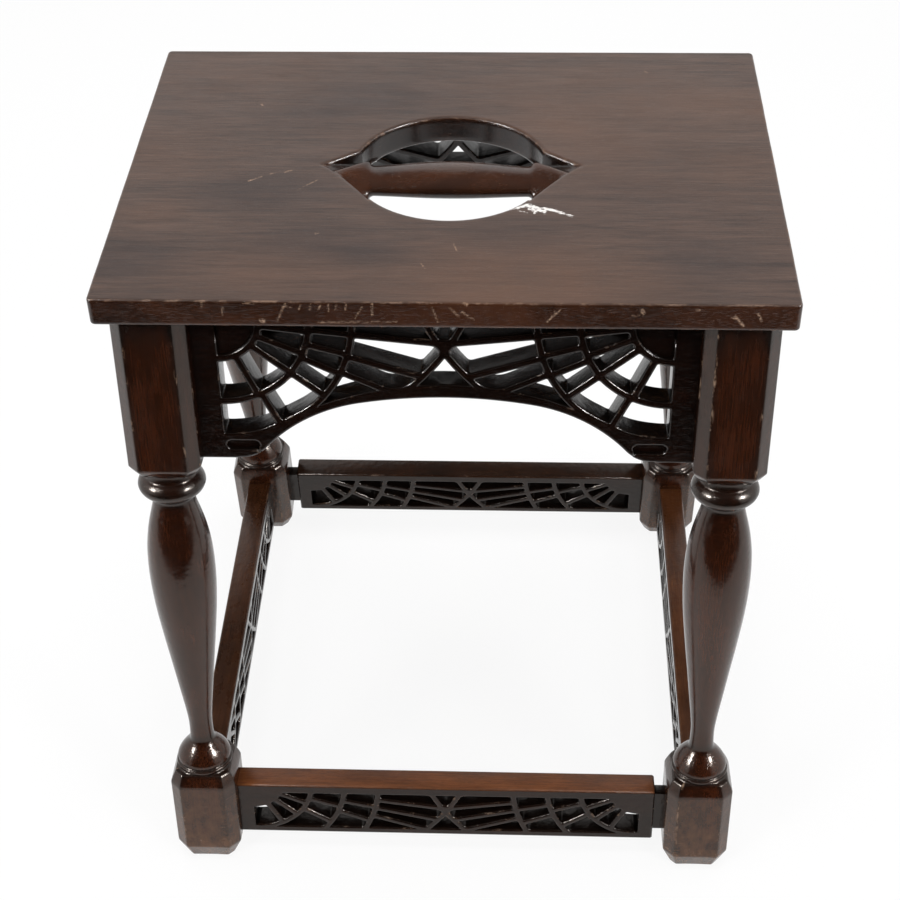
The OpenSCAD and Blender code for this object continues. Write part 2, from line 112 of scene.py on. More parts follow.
stretcher_low, stretcher_high = box_mm("stretcher_right")
STRETCHER_DEPTH = stretcher_high[2] - stretcher_low[2]
STRETCHER_MIDDLE = (stretcher_high[2] + stretcher_low[2]) / 2
STRETCHER_HALF_THICKNESS = (stretcher_high[0] - stretcher_low[0]) / 2
STRETCHER_STILE = 9.5
STRETCHER_TOP_RAIL = 7
STRETCHER_BOTTOM_RAIL = 5
STRETCHER_RIB = 3.8
STRETCHER_RISE = 7
STRETCHER_RINGS = [17.2, 36.6, 57.2, 78.4]
STRETCHER_SPOKES = [[25, 43, 62], [18, 33], [13, 22], [8.5, 13.5, 18.5]]
STRETCHER_CROSS = 110
OPEN_SHOULDER = 6.6
TENON_HEIGHT = 30
TENON_THICKNESS = 8
TENON_EDGE = 0.3

frieze_low, frieze_high = box_mm("frieze_right")
FRIEZE_HALF_THICKNESS = (frieze_high[0] - frieze_low[0]) / 2

HOLE_RADIUS = 53.4
HOLE_Y = -2.5
TIP_REACH = 71.5
SCOOP_RUN = 5
TIP_Y = 1.2
OGEE_START = 44
OGEE_FRONT = 34.2
OGEE_POWER = 1.22
OGEE_BACK = 0.75
KNUCKLE = (45.5, 9.0)
RIDGE_END = (64.5, -4.5)
RIDGE_DROP = 1.2
SCOOP_FLOOR = 5
GRIP_MIDDLE = 15.4
GRIP_END = 12
GRIP_FLAT = 0.5
RIM_BLEND = 2.4
CARVING_BLEND = 2.0
BAR_BLEND = 3

# ---------------------------------------------------------------- distance fields
# A field is negative inside the wood and positive outside it.

CORNER_BLEND = 2.6
ARC_STEPS = 20


def smooth_min(a, b, k):
    """Smaller of two fields, with the corner between them blended over a width of k."""
    h = np.maximum(k - np.abs(a - b), 0) / k
    return np.minimum(a, b) - h * h * k / 4


def smooth_max(a, b, k):
    """Larger of two fields, blended in the same way."""
    return -smooth_min(-a, -b, k)


def polygon_field(points, X, Y):
    """Signed distance to a closed polygon, negative inside."""
    best = np.full(X.shape, np.inf)
    inside = np.zeros(X.shape, bool)
    for (ax, ay), (bx, by) in zip(points, np.roll(points, -1, axis=0)):
        dx, dy = bx - ax, by - ay
        run = dx * dx + dy * dy
        if run == 0:
            continue
        t = np.clip(((X - ax) * dx + (Y - ay) * dy) / run, 0, 1)
        best = np.minimum(best, np.hypot(X - ax - t * dx, Y - ay - t * dy))
        if dy != 0:
            crosses = (ay > Y) != (by > Y)
            inside ^= crosses & (X < ax + (Y - ay) * dx / dy)
    return np.where(inside, -best, best)


def fan_field(X, Y, half, rise, rings, spokes, depth, radius, rib):
    """Ribs of the left fan; the top of the pierced field is at Y = 0."""
    fan_x = X + half
    fan_y = Y - rise
    reach = np.hypot(fan_x, fan_y)
    cross = np.hypot(X + radius * math.cos(CROSS_LEAN), Y - radius * math.sin(CROSS_LEAN) + depth)
    ribs = np.abs(cross - radius) - rib / 2
    for ring in rings:
        ribs = smooth_min(ribs, np.abs(reach - ring) - rib / 2, CORNER_BLEND)
    for i, angles in enumerate(spokes):
        outer = reach - rings[i + 1] if i + 1 < len(rings) else cross - radius
        for angle in np.radians(angles):
            along = fan_x * math.cos(angle) - fan_y * math.sin(angle)
            across = fan_x * math.sin(angle) + fan_y * math.cos(angle)
            bar = np.maximum(np.abs(across) - rib / 2, -along)
            bar = np.maximum(bar, np.maximum(rings[i] - reach, outer))
            ribs = smooth_min(ribs, bar, CORNER_BLEND)
    return ribs


def fret_field(X, Y, field, *fan):
    """Board pierced by two mirrored fans; field is negative inside the pierced field."""
    left = fan_field(X, Y, *fan)
    right = fan_field(-X, Y, *fan)
    return smooth_min(smooth_min(left, right, CORNER_BLEND), -field, CORNER_BLEND)


def arc(centre, radius, start, end):
    """Points along an arc; the angle is measured from straight up, clockwise."""
    angles = np.linspace(start, end, ARC_STEPS + 1)
    return np.stack([centre[0] + radius * np.sin(angles), centre[1] + radius * np.cos(angles)], 1)


def arch_outline(share):
    """Space under the arch of a frieze, measured from the top of its piercing."""
    crown, haunch = CROWN_RADIUS * share, HAUNCH_RADIUS * share
    foot = FRIEZE_DEPTH - FRIEZE_RAIL
    turn_1 = math.asin(CROWN_HALF * share / crown)
    centre_1 = np.array([0, -ARCH_CROWN - crown])
    centre_2 = centre_1 + (crown - haunch) * np.array([math.sin(turn_1), math.cos(turn_1)])
    turn_2 = math.acos((LOBE_RADIUS - foot - centre_2[1]) / (haunch + LOBE_RADIUS))
    centre_3 = np.array([centre_2[0] + (haunch + LOBE_RADIUS) * math.sin(turn_2), LOBE_RADIUS - foot])
    half = np.vstack([
        arc(centre_1, crown, 0, turn_1),
        arc(centre_2, haunch, turn_1, turn_2),
        arc(centre_3, LOBE_RADIUS, math.pi + turn_2, math.pi),
    ])
    end = half[-1]
    below = np.array([[end[0], -2 * FRIEZE_DEPTH], [-end[0], -2 * FRIEZE_DEPTH]])
    return np.vstack([half[::-1] * [-1, 1], half, below])


# ---------------------------------------------------------------- outlines from fields

# Segments of each marching-squares case, as (edge it starts on, edge it ends on).
# Corners are numbered 1, 2, 4, 8 round the cell; edges 0 bottom, 1 right, 2 top, 3 left.
CASES = {
    1: [(0, 3)], 2: [(1, 0)], 4: [(2, 1)], 8: [(3, 2)],
    3: [(1, 3)], 6: [(2, 0)], 12: [(3, 1)], 9: [(0, 2)],
    7: [(2, 3)], 11: [(1, 2)], 13: [(0, 1)], 14: [(3, 0)],
    5: [(0, 3), (2, 1)], 10: [(1, 0), (3, 2)],
}


def contour(field, xs, ys, level):
    """Closed loops where the field crosses the level, with the wood on their left."""
    F = field - level
    rows, columns = F.shape
    inside = F < 0
    case = inside[:-1, :-1] + 2 * inside[:-1, 1:] + 4 * inside[1:, 1:] + 8 * inside[1:, :-1]
    upright = rows * columns
    step = {}
    for number, segments in CASES.items():
        i, j = np.nonzero(case == number)
        edge = [i * columns + j, upright + i * columns + j + 1,
                (i + 1) * columns + j, upright + i * columns + j]
        for start, end in segments:
            step.update(zip(edge[start].tolist(), edge[end].tolist()))

    def place(edges):
        level_edge = edges < upright
        k = np.where(level_edge, edges, edges - upright)
        i, j = k // columns, k % columns
        i2, j2 = np.where(level_edge, i, i + 1), np.where(level_edge, j + 1, j)
        t = F[i, j] / (F[i, j] - F[i2, j2])
        return np.stack([xs[j] + t * (xs[j2] - xs[j]), ys[i] + t * (ys[i2] - ys[i])], 1)

    loops = []
    while step:
        first, here = step.popitem()
        chain = [first]
        while here != first:
            chain.append(here)
            here = step.pop(here)
        loops.append(place(np.array(chain)))
    return loops


def simplify(loop, tolerance):
    """Drops the points of a closed loop that straight lines between the others pass closely."""
    count = len(loop)
    closed = np.vstack([loop, loop[:1]])
    far = int(np.argmax(np.hypot(*(loop - loop[0]).T)))
    keep = {0, far}
    spans = [(0, far), (far, count)]
    while spans:
        a, b = spans.pop()
        if b - a < 2:
            continue
        line = closed[b] - closed[a]
        gap = closed[a + 1:b] - closed[a]
        off = np.abs(line[0] * gap[:, 1] - line[1] * gap[:, 0]) / max(np.hypot(*line), 1e-9)
        worst = int(np.argmax(off))
        if off[worst] > tolerance:
            middle = a + 1 + worst
            keep.add(middle)
            spans += [(a, middle), (middle, b)]
    return loop[sorted(keep)]


def loop_area(loop):
    """Area inside a loop, negative for a hole."""
    x, y = loop.T
    return 0.5 * np.sum(x * np.roll(y, -1) - y * np.roll(x, -1))


# ---------------------------------------------------------------- meshes

# The grain attribute counts in tenths of a metre, which suits the textures' scales.
GRAIN_SCALE = 10


def add_object(name, data):
    """Puts a new object in the scene."""
    thing = bpy.data.objects.new(name, data)
    bpy.context.scene.collection.objects.link(thing)
    return thing


def cap_triangles(loops, facing):
    """Triangles over an outer loop and its holes, turned to face up or down."""
    flat = np.vstack(loops)
    faces = []
    for a, b, c in tessellate_polygon([[Vector((x, y, 0)) for x, y in loop] for loop in loops]):
        (ax, ay), (bx, by), (cx, cy) = flat[a], flat[b], flat[c]
        turn = (bx - ax) * (cy - ay) - (by - ay) * (cx - ax)
        if abs(turn) > 1e-9:
            faces.append((a, b, c) if turn * facing > 0 else (a, c, b))
    return faces


class Shape:
    """Points, faces and per-point masks of one piece, gathered in millimetres."""

    def __init__(self):
        self.points = []
        # One mask holds grime with painted shade, the other wear with painted highlight.
        self.masks = {"wear_and_highlight": [], "shade_and_grime": []}
        self.faces = []
        self.smooth = []
        self.count = 0

    def add_points(self, points, wear_and_highlight=0.0, shade_and_grime=0.0):
        points = np.asarray(points, float).reshape(-1, 3)
        self.points.append(points)
        for name, value in (("wear_and_highlight", wear_and_highlight), ("shade_and_grime", shade_and_grime)):
            self.masks[name].append(np.broadcast_to(value, len(points)).astype(float))
        self.count += len(points)
        return self.count - len(points)

    def add_faces(self, faces, smooth=True):
        faces = [tuple(int(v) for v in face) for face in faces]
        self.faces += faces
        self.smooth += [smooth] * len(faces)

    def add_cap(self, loops, starts, facing):
        """Flat cap over an outer loop and its holes; starts are their first point numbers."""
        numbers = np.concatenate([start + np.arange(len(loop)) for loop, start in zip(loops, starts)])
        self.add_faces([numbers[list(face)] for face in cap_triangles(loops, facing)], smooth=False)

    def all_points(self):
        return np.vstack(self.points)

    def mask(self, name):
        return np.concatenate(self.masks[name])


def rows_of_quads(start, rows, columns):
    """Quads between rows of points that follow each other, each row going round."""
    i, j = np.meshgrid(np.arange(rows - 1), np.arange(columns), indexing="ij")
    after = (j + 1) % columns
    a, b = start + i * columns + j, start + i * columns + after
    return np.stack([a, b, b + columns, a + columns], -1).reshape(-1, 4)


def there_and_back(values):
    """Values of a rounded edge, and the same in reverse for the edge below it."""
    return np.concatenate([values, values[::-1]])


def unit(steps):
    """Steps scaled to a length of one."""
    return steps / np.maximum(np.hypot(*steps.T), 1e-9)[:, None]


def add_slab(shape, loops, top, bottom, round_edge, steps, wear_and_highlight=1.0):
    """A board from inset loops: flat faces, rounded edges and upright walls."""
    turns = np.linspace(0, math.pi / 2, steps + 1)
    outward = there_and_back(np.sin(turns)) * round_edge
    drop = np.concatenate([np.cos(turns) - 1, 1 - np.cos(turns[::-1])]) * round_edge
    height = np.concatenate([np.full(steps + 1, top), np.full(steps + 1, bottom)]) + drop
    # Rounded edges get wear with a painted highlight; upright walls get painted shade.
    rubbed_and_lit = there_and_back(np.sin(2 * turns)) * wear_and_highlight
    wall_shade = there_and_back(np.sin(turns)) ** 2
    tops, bottoms = [], []
    for loop in loops:
        before = unit(loop - np.roll(loop, 1, axis=0))
        after = unit(np.roll(loop, -1, axis=0) - loop)
        along = unit(before + after)
        mitre = 1 / np.maximum(np.sum(along * after, 1), 0.6)
        normal = np.stack([along[:, 1], -along[:, 0]], 1) * mitre[:, None]
        count = len(loop)
        rings = [np.column_stack([loop + normal * o, np.full(count, h)]) for o, h in zip(outward, height)]
        start = shape.add_points(np.vstack(rings), np.repeat(rubbed_and_lit, count), np.repeat(wall_shade, count))
        quads = rows_of_quads(start, len(rings), count)
        shape.add_faces(quads[:, ::-1])
        tops.append(start)
        bottoms.append(start + (len(rings) - 1) * count)
    shape.add_cap(loops, tops, 1)
    shape.add_cap(loops, bottoms, -1)


def place_piece(name, shape, place, grain, material, node, more_masks=None):
    """Makes the mesh of one piece and hides the CAD node that it stands for."""
    points = shape.all_points()
    mesh = bpy.data.meshes.new(name)
    mesh.from_pydata((place(points) * MM).tolist(), [], shape.faces)
    mesh.polygons.foreach_set("use_smooth", shape.smooth)
    along = mesh.attributes.new("grain", "FLOAT_VECTOR", "POINT")
    along.data.foreach_set("vector", (grain(points) * MM * GRAIN_SCALE).ravel())
    masks = {label: shape.mask(label) for label in shape.masks}
    masks.update(more_masks(points) if more_masks else {})
    for label, values in masks.items():
        mask = mesh.attributes.new(label, "FLOAT", "POINT")
        mask.data.foreach_set("value", values)
    mesh.materials.append(material)
    mesh.validate()
    piece = add_object(name, mesh)
    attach(piece, "root")
    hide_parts(node)


# ---------------------------------------------------------------- placing


def raked(points):
    """From the frame of the back legs (X across, Y outward, Z up the leg) to the world."""
    x, y, z = points.T
    return np.column_stack([
        x,
        LEG_FOOT_Y + y * math.cos(RAKE) - z * math.sin(RAKE),
        y * math.sin(RAKE) + z * math.cos(RAKE),
    ])


def half_turn(points):
    """Half a turn about the middle of the stool."""
    return points * [-1, -1, 1]


def back_board(points, height):
    """Board frame (X across, Y up, Z out of the face) to the back of the stool."""
    x, y, z = points.T
    return raked(np.column_stack([-x, z, y + height]))


def right_board(points, height):
    """Board frame to the right side of the stool."""
    x, y, z = points.T
    return np.column_stack([LEG_X + z, x, y + height])


def side_half(height):
    """Half the clear length between the raked legs at a height above the floor."""
    return LEG_FOOT_Y - height * RAKE_SLOPE - HALF_SQUARE / math.cos(RAKE)


BOARD_PLACES = {
    "back": back_board,
    "front": lambda p, h: half_turn(back_board(p, h)),
    "right": right_board,
    "left": lambda p, h: half_turn(right_board(p, h)),
}

# ---------------------------------------------------------------- fretted boards

GRID = 0.5
FRIEZE_EDGE = 1.4
STRETCHER_EDGE = 1.4
SMALLEST_LOOP = 15
LOOP_TOLERANCE = 0.03
IN_LEG = 1.0
ARCH_BLEND = 1.5
# The floors of the hubs and slots: their lap under the wood, their back and their edge.
PLATE_LAP = 1.5
PLATE_BACK = 0.4
PLATE_EDGE = 0.2
# How much the top edges of the stretchers are lightened: part wear, part painted light set for how brightly
# each side's top is lit.
CROWN_WEAR_AND_LIGHT = {"front": 1.0, "back": 0.2, "left": 0.45, "right": 0.7}


def board_grid(half, low, high):
    """Grid lines and their crossings over a board."""
    margin = 4 * GRID + IN_LEG
    xs = np.arange(-half - margin, half + margin + GRID, GRID)
    ys = np.arange(low - margin, high + margin + GRID, GRID)
    return xs, ys, *np.meshgrid(xs, ys)


def board_loops(field, xs, ys, edge):
    """Outline of a board and of its openings, the largest first."""
    loops = [simplify(loop, LOOP_TOLERANCE) for loop in contour(field, xs, ys, -edge)]
    loops = [loop for loop in loops if abs(loop_area(loop)) > SMALLEST_LOOP]
    return sorted(loops, key=lambda loop: -abs(loop_area(loop)))


def make_frieze(side):
    """Board under the seat, pierced by two fans over an arch."""
    if side in ("front", "back"):
        half, slope, height = FACE_X, 0.0, LEG_RUN
        rings, spokes, share = FRIEZE_RINGS, FRIEZE_SPOKES, 1
        slot_in, slot_length = SLOT_IN, SLOT_LENGTH
    else:
        half, slope, height = side_half(SEAT_UNDER), RAKE_SLOPE, SEAT_UNDER
        rings, spokes, share = SIDE_RINGS, SIDE_SPOKES, SIDE_ARCH_SHARE
        slot_in, slot_length = SIDE_SLOT_IN, SIDE_SLOT_LENGTH
    field_half = half + slope * FRIEZE_RAIL - FRIEZE_STILE
    xs, ys, X, Y = board_grid(half + slope * FRIEZE_DEPTH, -FRIEZE_DEPTH, 0)
    down = Y + FRIEZE_RAIL
    reach = np.hypot(np.abs(X) - field_half, down - FRIEZE_RISE)
    middle = np.abs(X) - (field_half - rings[-1] / 2)
    border = np.maximum(down + TOP_BOW * X * X, np.abs(X) - field_half + slope * down)
    border = np.maximum(border, RIM_RADIUS - np.hypot(X, down + FIELD_CROWN + RIM_RADIUS))
    border = np.maximum(border, np.minimum(middle, reach - rings[-1]))
    wood = fret_field(X, down, border, field_half, FRIEZE_RISE, rings, spokes,
                      CROSS_DEPTH, CROSS_RADIUS * share, FRIEZE_RIB)
    arch = polygon_field(arch_outline(share), X, down)
    ends = np.abs(X) - half + slope * Y - IN_LEG
    outline = np.maximum(ends, np.abs(Y + FRIEZE_DEPTH / 2) - FRIEZE_DEPTH / 2)
    slot_x = np.abs(X) - (field_half + slope * SLOT_DROP - slot_in)
    slot_run = np.maximum(np.abs(slot_x) - (slot_length - SLOT_WIDTH) / 2, 0)
    slot = np.hypot(slot_run, Y + SLOT_DROP) - SLOT_WIDTH / 2
    arched = np.maximum(smooth_max(outline, -arch, ARCH_BLEND), outline)
    solid = np.maximum(np.maximum(wood, -slot), arched)
    shape = Shape()
    h = FRIEZE_HALF_THICKNESS
    add_slab(shape, board_loops(solid, xs, ys, FRIEZE_EDGE), h, -h, FRIEZE_EDGE, steps=4)
    hub = np.maximum(reach - rings[0], np.maximum(border - PLATE_LAP, outline))
    for plate, sink in ((hub, HUB_SINK), (slot - PLATE_LAP, SLOT_SINK)):
        for loop in contour(plate, xs, ys, 0):
            floor = [simplify(loop, LOOP_TOLERANCE)]
            add_slab(shape, floor, h - sink, -h + PLATE_BACK, PLATE_EDGE, steps=1, wear_and_highlight=0)
    place_board("frieze", side, shape, height)


def make_stretcher(side):
    """Low rail between two legs, pierced by two long fans."""
    slope = 0.0 if side in ("front", "back") else RAKE_SLOPE
    if slope:
        half, middle, open_end = side_half(STRETCHER_MIDDLE + STRETCHER_DEPTH / 2), 0, IN_LEG
        outer = side_half(STRETCHER_MIDDLE)
        height = STRETCHER_MIDDLE
    else:
        half, middle, open_end = FACE_X - OPEN_SHOULDER / 2, OPEN_SHOULDER / 2, -OPEN_SHOULDER
        outer = FACE_X
        height = STRETCHER_MIDDLE / math.cos(RAKE)
    field_half = half - STRETCHER_STILE
    depth = STRETCHER_DEPTH - STRETCHER_TOP_RAIL - STRETCHER_BOTTOM_RAIL
    xs, ys, X, Y = board_grid(outer + 4, -STRETCHER_DEPTH / 2, STRETCHER_DEPTH / 2)
    down = Y - STRETCHER_DEPTH / 2 + STRETCHER_TOP_RAIL
    across = X + middle
    border = np.maximum(np.abs(across) - field_half + slope * down, np.abs(down + depth / 2) - depth / 2)
    wood = fret_field(across, down, border, field_half, STRETCHER_RISE, STRETCHER_RINGS,
                      STRETCHER_SPOKES, depth / 2, STRETCHER_CROSS, STRETCHER_RIB)
    hub = np.hypot(np.abs(across) - field_half, down - STRETCHER_RISE) - STRETCHER_RINGS[0]
    wood = smooth_min(wood, hub, CORNER_BLEND)
    ends = np.maximum(X - outer + slope * Y - open_end, -X - outer + slope * Y - IN_LEG)
    outline = np.maximum(ends, np.abs(Y) - STRETCHER_DEPTH / 2)
    shape = Shape()
    h = STRETCHER_HALF_THICKNESS
    loops = board_loops(np.maximum(wood, outline), xs, ys, STRETCHER_EDGE)
    add_slab(shape, loops, h, -h, STRETCHER_EDGE, steps=4)
    if not slope:
        tenon = np.maximum(np.abs(X - outer + OPEN_SHOULDER / 2) - OPEN_SHOULDER / 2 - IN_LEG,
                           np.abs(Y) - TENON_HEIGHT / 2)
        loops = [simplify(loop, LOOP_TOLERANCE) for loop in contour(tenon, xs, ys, -TENON_EDGE)]
        add_slab(shape, loops, TENON_THICKNESS / 2, -TENON_THICKNESS / 2, TENON_EDGE, steps=2, wear_and_highlight=0.5)
    # The top edge is lightened with wear and painted light, more on the brightly lit sides.
    rubbed_and_lit = CROWN_WEAR_AND_LIGHT[side]
    place_board("stretcher", side, shape, height,
                lambda points: {"crown": rubbed_and_lit * np.clip(points[:, 1] - STRETCHER_DEPTH / 2 + 1.3, 0, 1)})


def place_board(kind, side, shape, height, more_masks=None):
    """Places a board with its own stretch of grain."""
    name = f"{kind}_{side}"
    offset = np.array([PIECE_SEEDS[name] * 371.0, PIECE_SEEDS[name] * 57.0, 0])
    place_piece(
        f"{kind}_{side}_look", shape,
        lambda points: BOARD_PLACES[side](points, height),
        lambda points: points + offset,
        {"frieze": frieze_shade_wood, "stretcher": stretcher_wood}[kind], name, more_masks,
    )


# ---------------------------------------------------------------- legs

LEG_CHAMFER = 6.6
BOTTOM_BLOCK = 60
TOP_BLOCK = 98
TURNED_END = LEG_RUN - TOP_BLOCK
FOOT_INSET = 4.5
FOOT_TAPER = 10.4
CORNER_HALF = HALF_SQUARE * math.sqrt(2) - LEG_CHAMFER / math.sqrt(2)
SHOULDER_SHARE = 0.035
SHOULDER_INSET = 3.4
COLLAR_SHARE = 0.026
COLLAR_INSET = 4.6

# Radii of the turned part, as (share of the turned length, share of half the block). They were
# listed from silhouette radii that a script measured on the photograph.
TURNING = [
    (0.04, 0.85), (0.045, 0.85), (0.049, 0.79), (0.055, 0.81), (0.062, 0.8), (0.07, 0.76), (0.08, 0.69),
    (0.09, 0.6), (0.098, 0.52), (0.105, 0.45), (0.113, 0.39), (0.125, 0.365), (0.148, 0.355),
    (0.18, 0.362), (0.225, 0.415), (0.28, 0.495), (0.335, 0.575), (0.39, 0.655), (0.44, 0.73),
    (0.49, 0.8), (0.54, 0.866), (0.59, 0.915), (0.64, 0.943), (0.686, 0.947), (0.729, 0.925),
    (0.763, 0.88), (0.797, 0.81), (0.826, 0.73), (0.85, 0.655), (0.87, 0.6), (0.882, 0.585),
    (0.89, 0.63), (0.896, 0.72), (0.902, 0.82), (0.911, 0.905), (0.923, 0.945), (0.935, 0.905),
    (0.944, 0.825), (0.95, 0.75), (0.96, 0.73),
]
TURNING_STEPS = 4


def smooth_curve(points, steps):
    """Catmull-Rom curve through the points."""
    points = np.array(points)
    padded = np.vstack([points[:1], points, points[-1:]])
    curve = []
    for a, b, c, d in zip(padded, padded[1:], padded[2:], padded[3:]):
        for t in np.arange(steps) / steps:
            curve.append(0.5 * (2 * b + (c - a) * t + (2 * a - 5 * b + 4 * c - d) * t ** 2
                                + (3 * b - a - 3 * c + d) * t ** 3))
    return np.vstack([curve, points[-1:]])


def leg_sections():
    """Rows of distance up the leg, half width over flats and over chamfers, roundness."""
    flat, corner = HALF_SQUARE, CORNER_HALF
    foot = np.linspace(0, 1.3 * FOOT_TAPER, 12)
    block = np.linspace(1.4 * FOOT_TAPER, BOTTOM_BLOCK - 1, 19)
    rows = [(w, flat, corner, 0) for w in np.concatenate([foot, block])]
    turned = TURNED_END - BOTTOM_BLOCK
    shoulder = BOTTOM_BLOCK + SHOULDER_SHARE * turned
    for share in np.linspace(0, 1, 7):
        draw = SHOULDER_INSET * share ** 1.25
        rows.append((BOTTOM_BLOCK + (shoulder - BOTTOM_BLOCK) * share, flat - draw, corner - draw, 0))
    rows += [(shoulder + 0.25, 16.3, 19.5, 0.2), (shoulder + 0.3, 16.2, 17.0, 1.0),
             (shoulder + 0.5, 16.6, 16.6, 1.0)]
    for share, radius in smooth_curve(TURNING, TURNING_STEPS):
        rows.append((BOTTOM_BLOCK + share * turned, radius * flat, radius * flat, 1))
    collar = TURNED_END - COLLAR_SHARE * turned
    rows += [(collar - 1.6, 14.6, 14.6, 1), (collar - 0.5, 14.9, 15.2, 0.9),
             (collar - 0.15, 15.2, 18.2, 0.3)]
    for share in np.linspace(0, 1, 7):
        draw = COLLAR_INSET * (1 - share ** 0.8)
        rows.append((collar + (TURNED_END - collar) * share, flat - draw, corner - draw, 0))
    rows += [(w, flat, corner, 0) for w in np.linspace(TURNED_END + 1, LEG_RUN, 24)]
    return np.array(rows)


# Directions of the long edges of the blocks, where flats meet chamfers.
EDGE_TURN = math.atan2(CORNER_HALF * math.sqrt(2) - HALF_SQUARE, HALF_SQUARE)
EDGE_ANGLES = np.sort(np.concatenate([
    [k * math.pi / 2 + EDGE_TURN, k * math.pi / 2 - EDGE_TURN] for k in range(4)]) % (2 * math.pi))
EDGE_SHARPNESS = 90


def leg_angles():
    """Directions round a section, closer together at the long edges."""
    spread = np.radians([-3.2, -2.0, -1.2, -0.6, 0, 0.6, 1.2, 2.0, 3.2])
    fine = (EDGE_ANGLES[:, None] + spread).ravel()
    even = np.radians(np.arange(0, 360, 5.0))
    gap = np.abs((even[:, None] - fine[None] + math.pi) % (2 * math.pi) - math.pi).min(1)
    return np.sort(np.concatenate([fine, even[gap > math.radians(1.2)]]) % (2 * math.pi))


# Places darkened by grime and painted shade, as (share of the turned length, reach); 0.925 paints shade on
# the bead and the last paints shadow under the seat.
SHADE_AND_GRIME_PLACES = [
    (0.035, 0.006), (0.049, 0.006), (0.122, 0.012), (0.883, 0.012), (0.925, 0.022), (0.962, 0.012),
    (1.415, 0.06),
]


def groove_shade_and_grime(share):
    """Grime and painted shade in the grooves of the turning, painted shade on the bead and painted shadow
    under the seat.
    """
    return sum(math.exp(-((share - place) / width) ** 2) for place, width in SHADE_AND_GRIME_PLACES)


def make_leg(side, end):
    """One leg: blocks at both ends, the turning between them and a tapered foot."""
    shape = Shape()
    angles = leg_angles()
    rows = leg_sections()
    flats = np.radians(np.arange(0, 360, 45))
    facing = np.maximum(np.cos(angles[:, None] - flats[None]), 0)
    edge_gap = np.abs((angles[:, None] - EDGE_ANGLES[None] + math.pi) % (2 * math.pi) - math.pi).min(1)
    edge = np.exp(-(edge_gap / math.radians(1.6)) ** 2)
    wide_edge = np.exp(-(edge_gap / math.radians(5)) ** 2)
    seed = PIECE_SEEDS[f"leg_{end}_{side}"]
    foot_masks = []
    for w, flat, corner, roundness in rows:
        low = max(1 - w / BOTTOM_BLOCK, 0)
        high = max((w - TURNED_END) / (LEG_RUN - TURNED_END), 0)
        apothem = np.where(np.arange(8) % 2 == 0, flat, corner)
        foot = w - flat * np.sin(angles) * RAKE_SLOPE * low
        draw = FOOT_INSET * np.maximum(1 - foot / FOOT_TAPER, 0)
        sides = facing / (apothem[None] - draw[:, None])
        octagon = np.sum(sides ** EDGE_SHARPNESS, 1) ** (-1 / EDGE_SHARPNESS)
        radius = octagon + (flat - octagon) * roundness
        x, y = radius * np.cos(angles), radius * np.sin(angles)
        z = w - y * RAKE_SLOPE * (low + high)
        # Wear on the block edges and the foot; grime with painted shade at wide edges, in grooves, on the
        # bead and under the seat.
        wear_and_highlight = edge * (1 - roundness) + math.exp(-(w / 7) ** 2)
        share = (w - BOTTOM_BLOCK) / (TURNED_END - BOTTOM_BLOCK)
        shade_and_grime = wide_edge * (1 - roundness) * 0.6 + groove_shade_and_grime(share)
        shape.add_points(np.column_stack([x, y, z]), np.clip(wear_and_highlight, 0, 1), np.clip(shade_and_grime, 0, 1))
        foot_masks.append(np.full(len(angles), 0.25 + 0.75 * low if low else 0.0))
    count = len(angles)
    shape.add_faces(rows_of_quads(0, len(rows), count))
    last = (len(rows) - 1) * count
    shape.add_faces([range(count)[::-1], range(last, last + count)], smooth=False)
    across = LEG_X if (side == "right") == (end == "back") else -LEG_X

    def place(points):
        world = raked(points + [across, 0, 0])
        return world if end == "back" else half_turn(world)

    offset = np.array([seed * 431.0, seed * 83.0, 0])
    place_piece(f"leg_{end}_{side}_look", shape, place,
                lambda points: points[:, [2, 0, 1]] + offset,
                leg_wood, f"leg_{end}_{side}",
                lambda points: {"foot": np.concatenate(foot_masks)})


# ---------------------------------------------------------------- seat

VOXEL = 1.0
SEAT_EDGE = 1.5
SEAT_CORNER = 3
GRIP_PATCH = (84, 64)
WALL_ROWS = 17
CAP_SPACING = 3.5


def ellipse_field(u, v, a, b):
    """Distance to an ellipse of half axes a and b, close to its surface."""
    near = np.hypot(u / a, v / b)
    slope = np.maximum(np.hypot(u / (a * a), v / (b * b)), 1e-6)
    return near * (near - 1) / slope


def ridge_line(ax):
    """Y of the ridge that runs from the knuckle of the grip towards the point."""
    slope = (RIDGE_END[1] - KNUCKLE[1]) / (RIDGE_END[0] - KNUCKLE[0])
    return KNUCKLE[1] + (ax - KNUCKLE[0]) * slope


def scoop_height(ax, Y):
    """Height of the carved wood between the opening and its points."""
    top = SEAT_HALF_THICKNESS
    lead = ridge_line(ax) - Y
    crest = top - RIDGE_DROP * np.clip((RIDGE_END[0] + 3 - ax) / (RIDGE_END[0] - KNUCKLE[0]), 0, 1)
    front = crest - 0.03 * lead - 0.012 * lead ** 2
    behind = crest + 1.3 * lead
    run = TIP_REACH - (HOLE_RADIUS - SCOOP_RUN)
    floor = top + (ax - TIP_REACH) * (2 * top - SCOOP_FLOOR) / run
    return smooth_max(smooth_min(front, behind, 1.2), floor, 4)


def opening_outline(ax, Y):
    """Distance to the outline of the opening: a circle with an ogee point at each side."""
    left = np.clip(TIP_REACH - ax, 0, None)
    span = TIP_REACH - OGEE_START
    front = OGEE_FRONT * (left / span) ** OGEE_POWER
    front_slope = OGEE_FRONT * OGEE_POWER / span * (left / span) ** (OGEE_POWER - 1)
    ahead = (TIP_Y - Y - front) / np.hypot(1, front_slope)
    behind = (Y - TIP_Y - OGEE_BACK * left) / math.hypot(1, OGEE_BACK)
    point = np.maximum(np.maximum(ahead, behind), np.maximum(OGEE_START - ax, ax - TIP_REACH))
    return np.minimum(np.hypot(ax, Y) - HOLE_RADIUS, point)


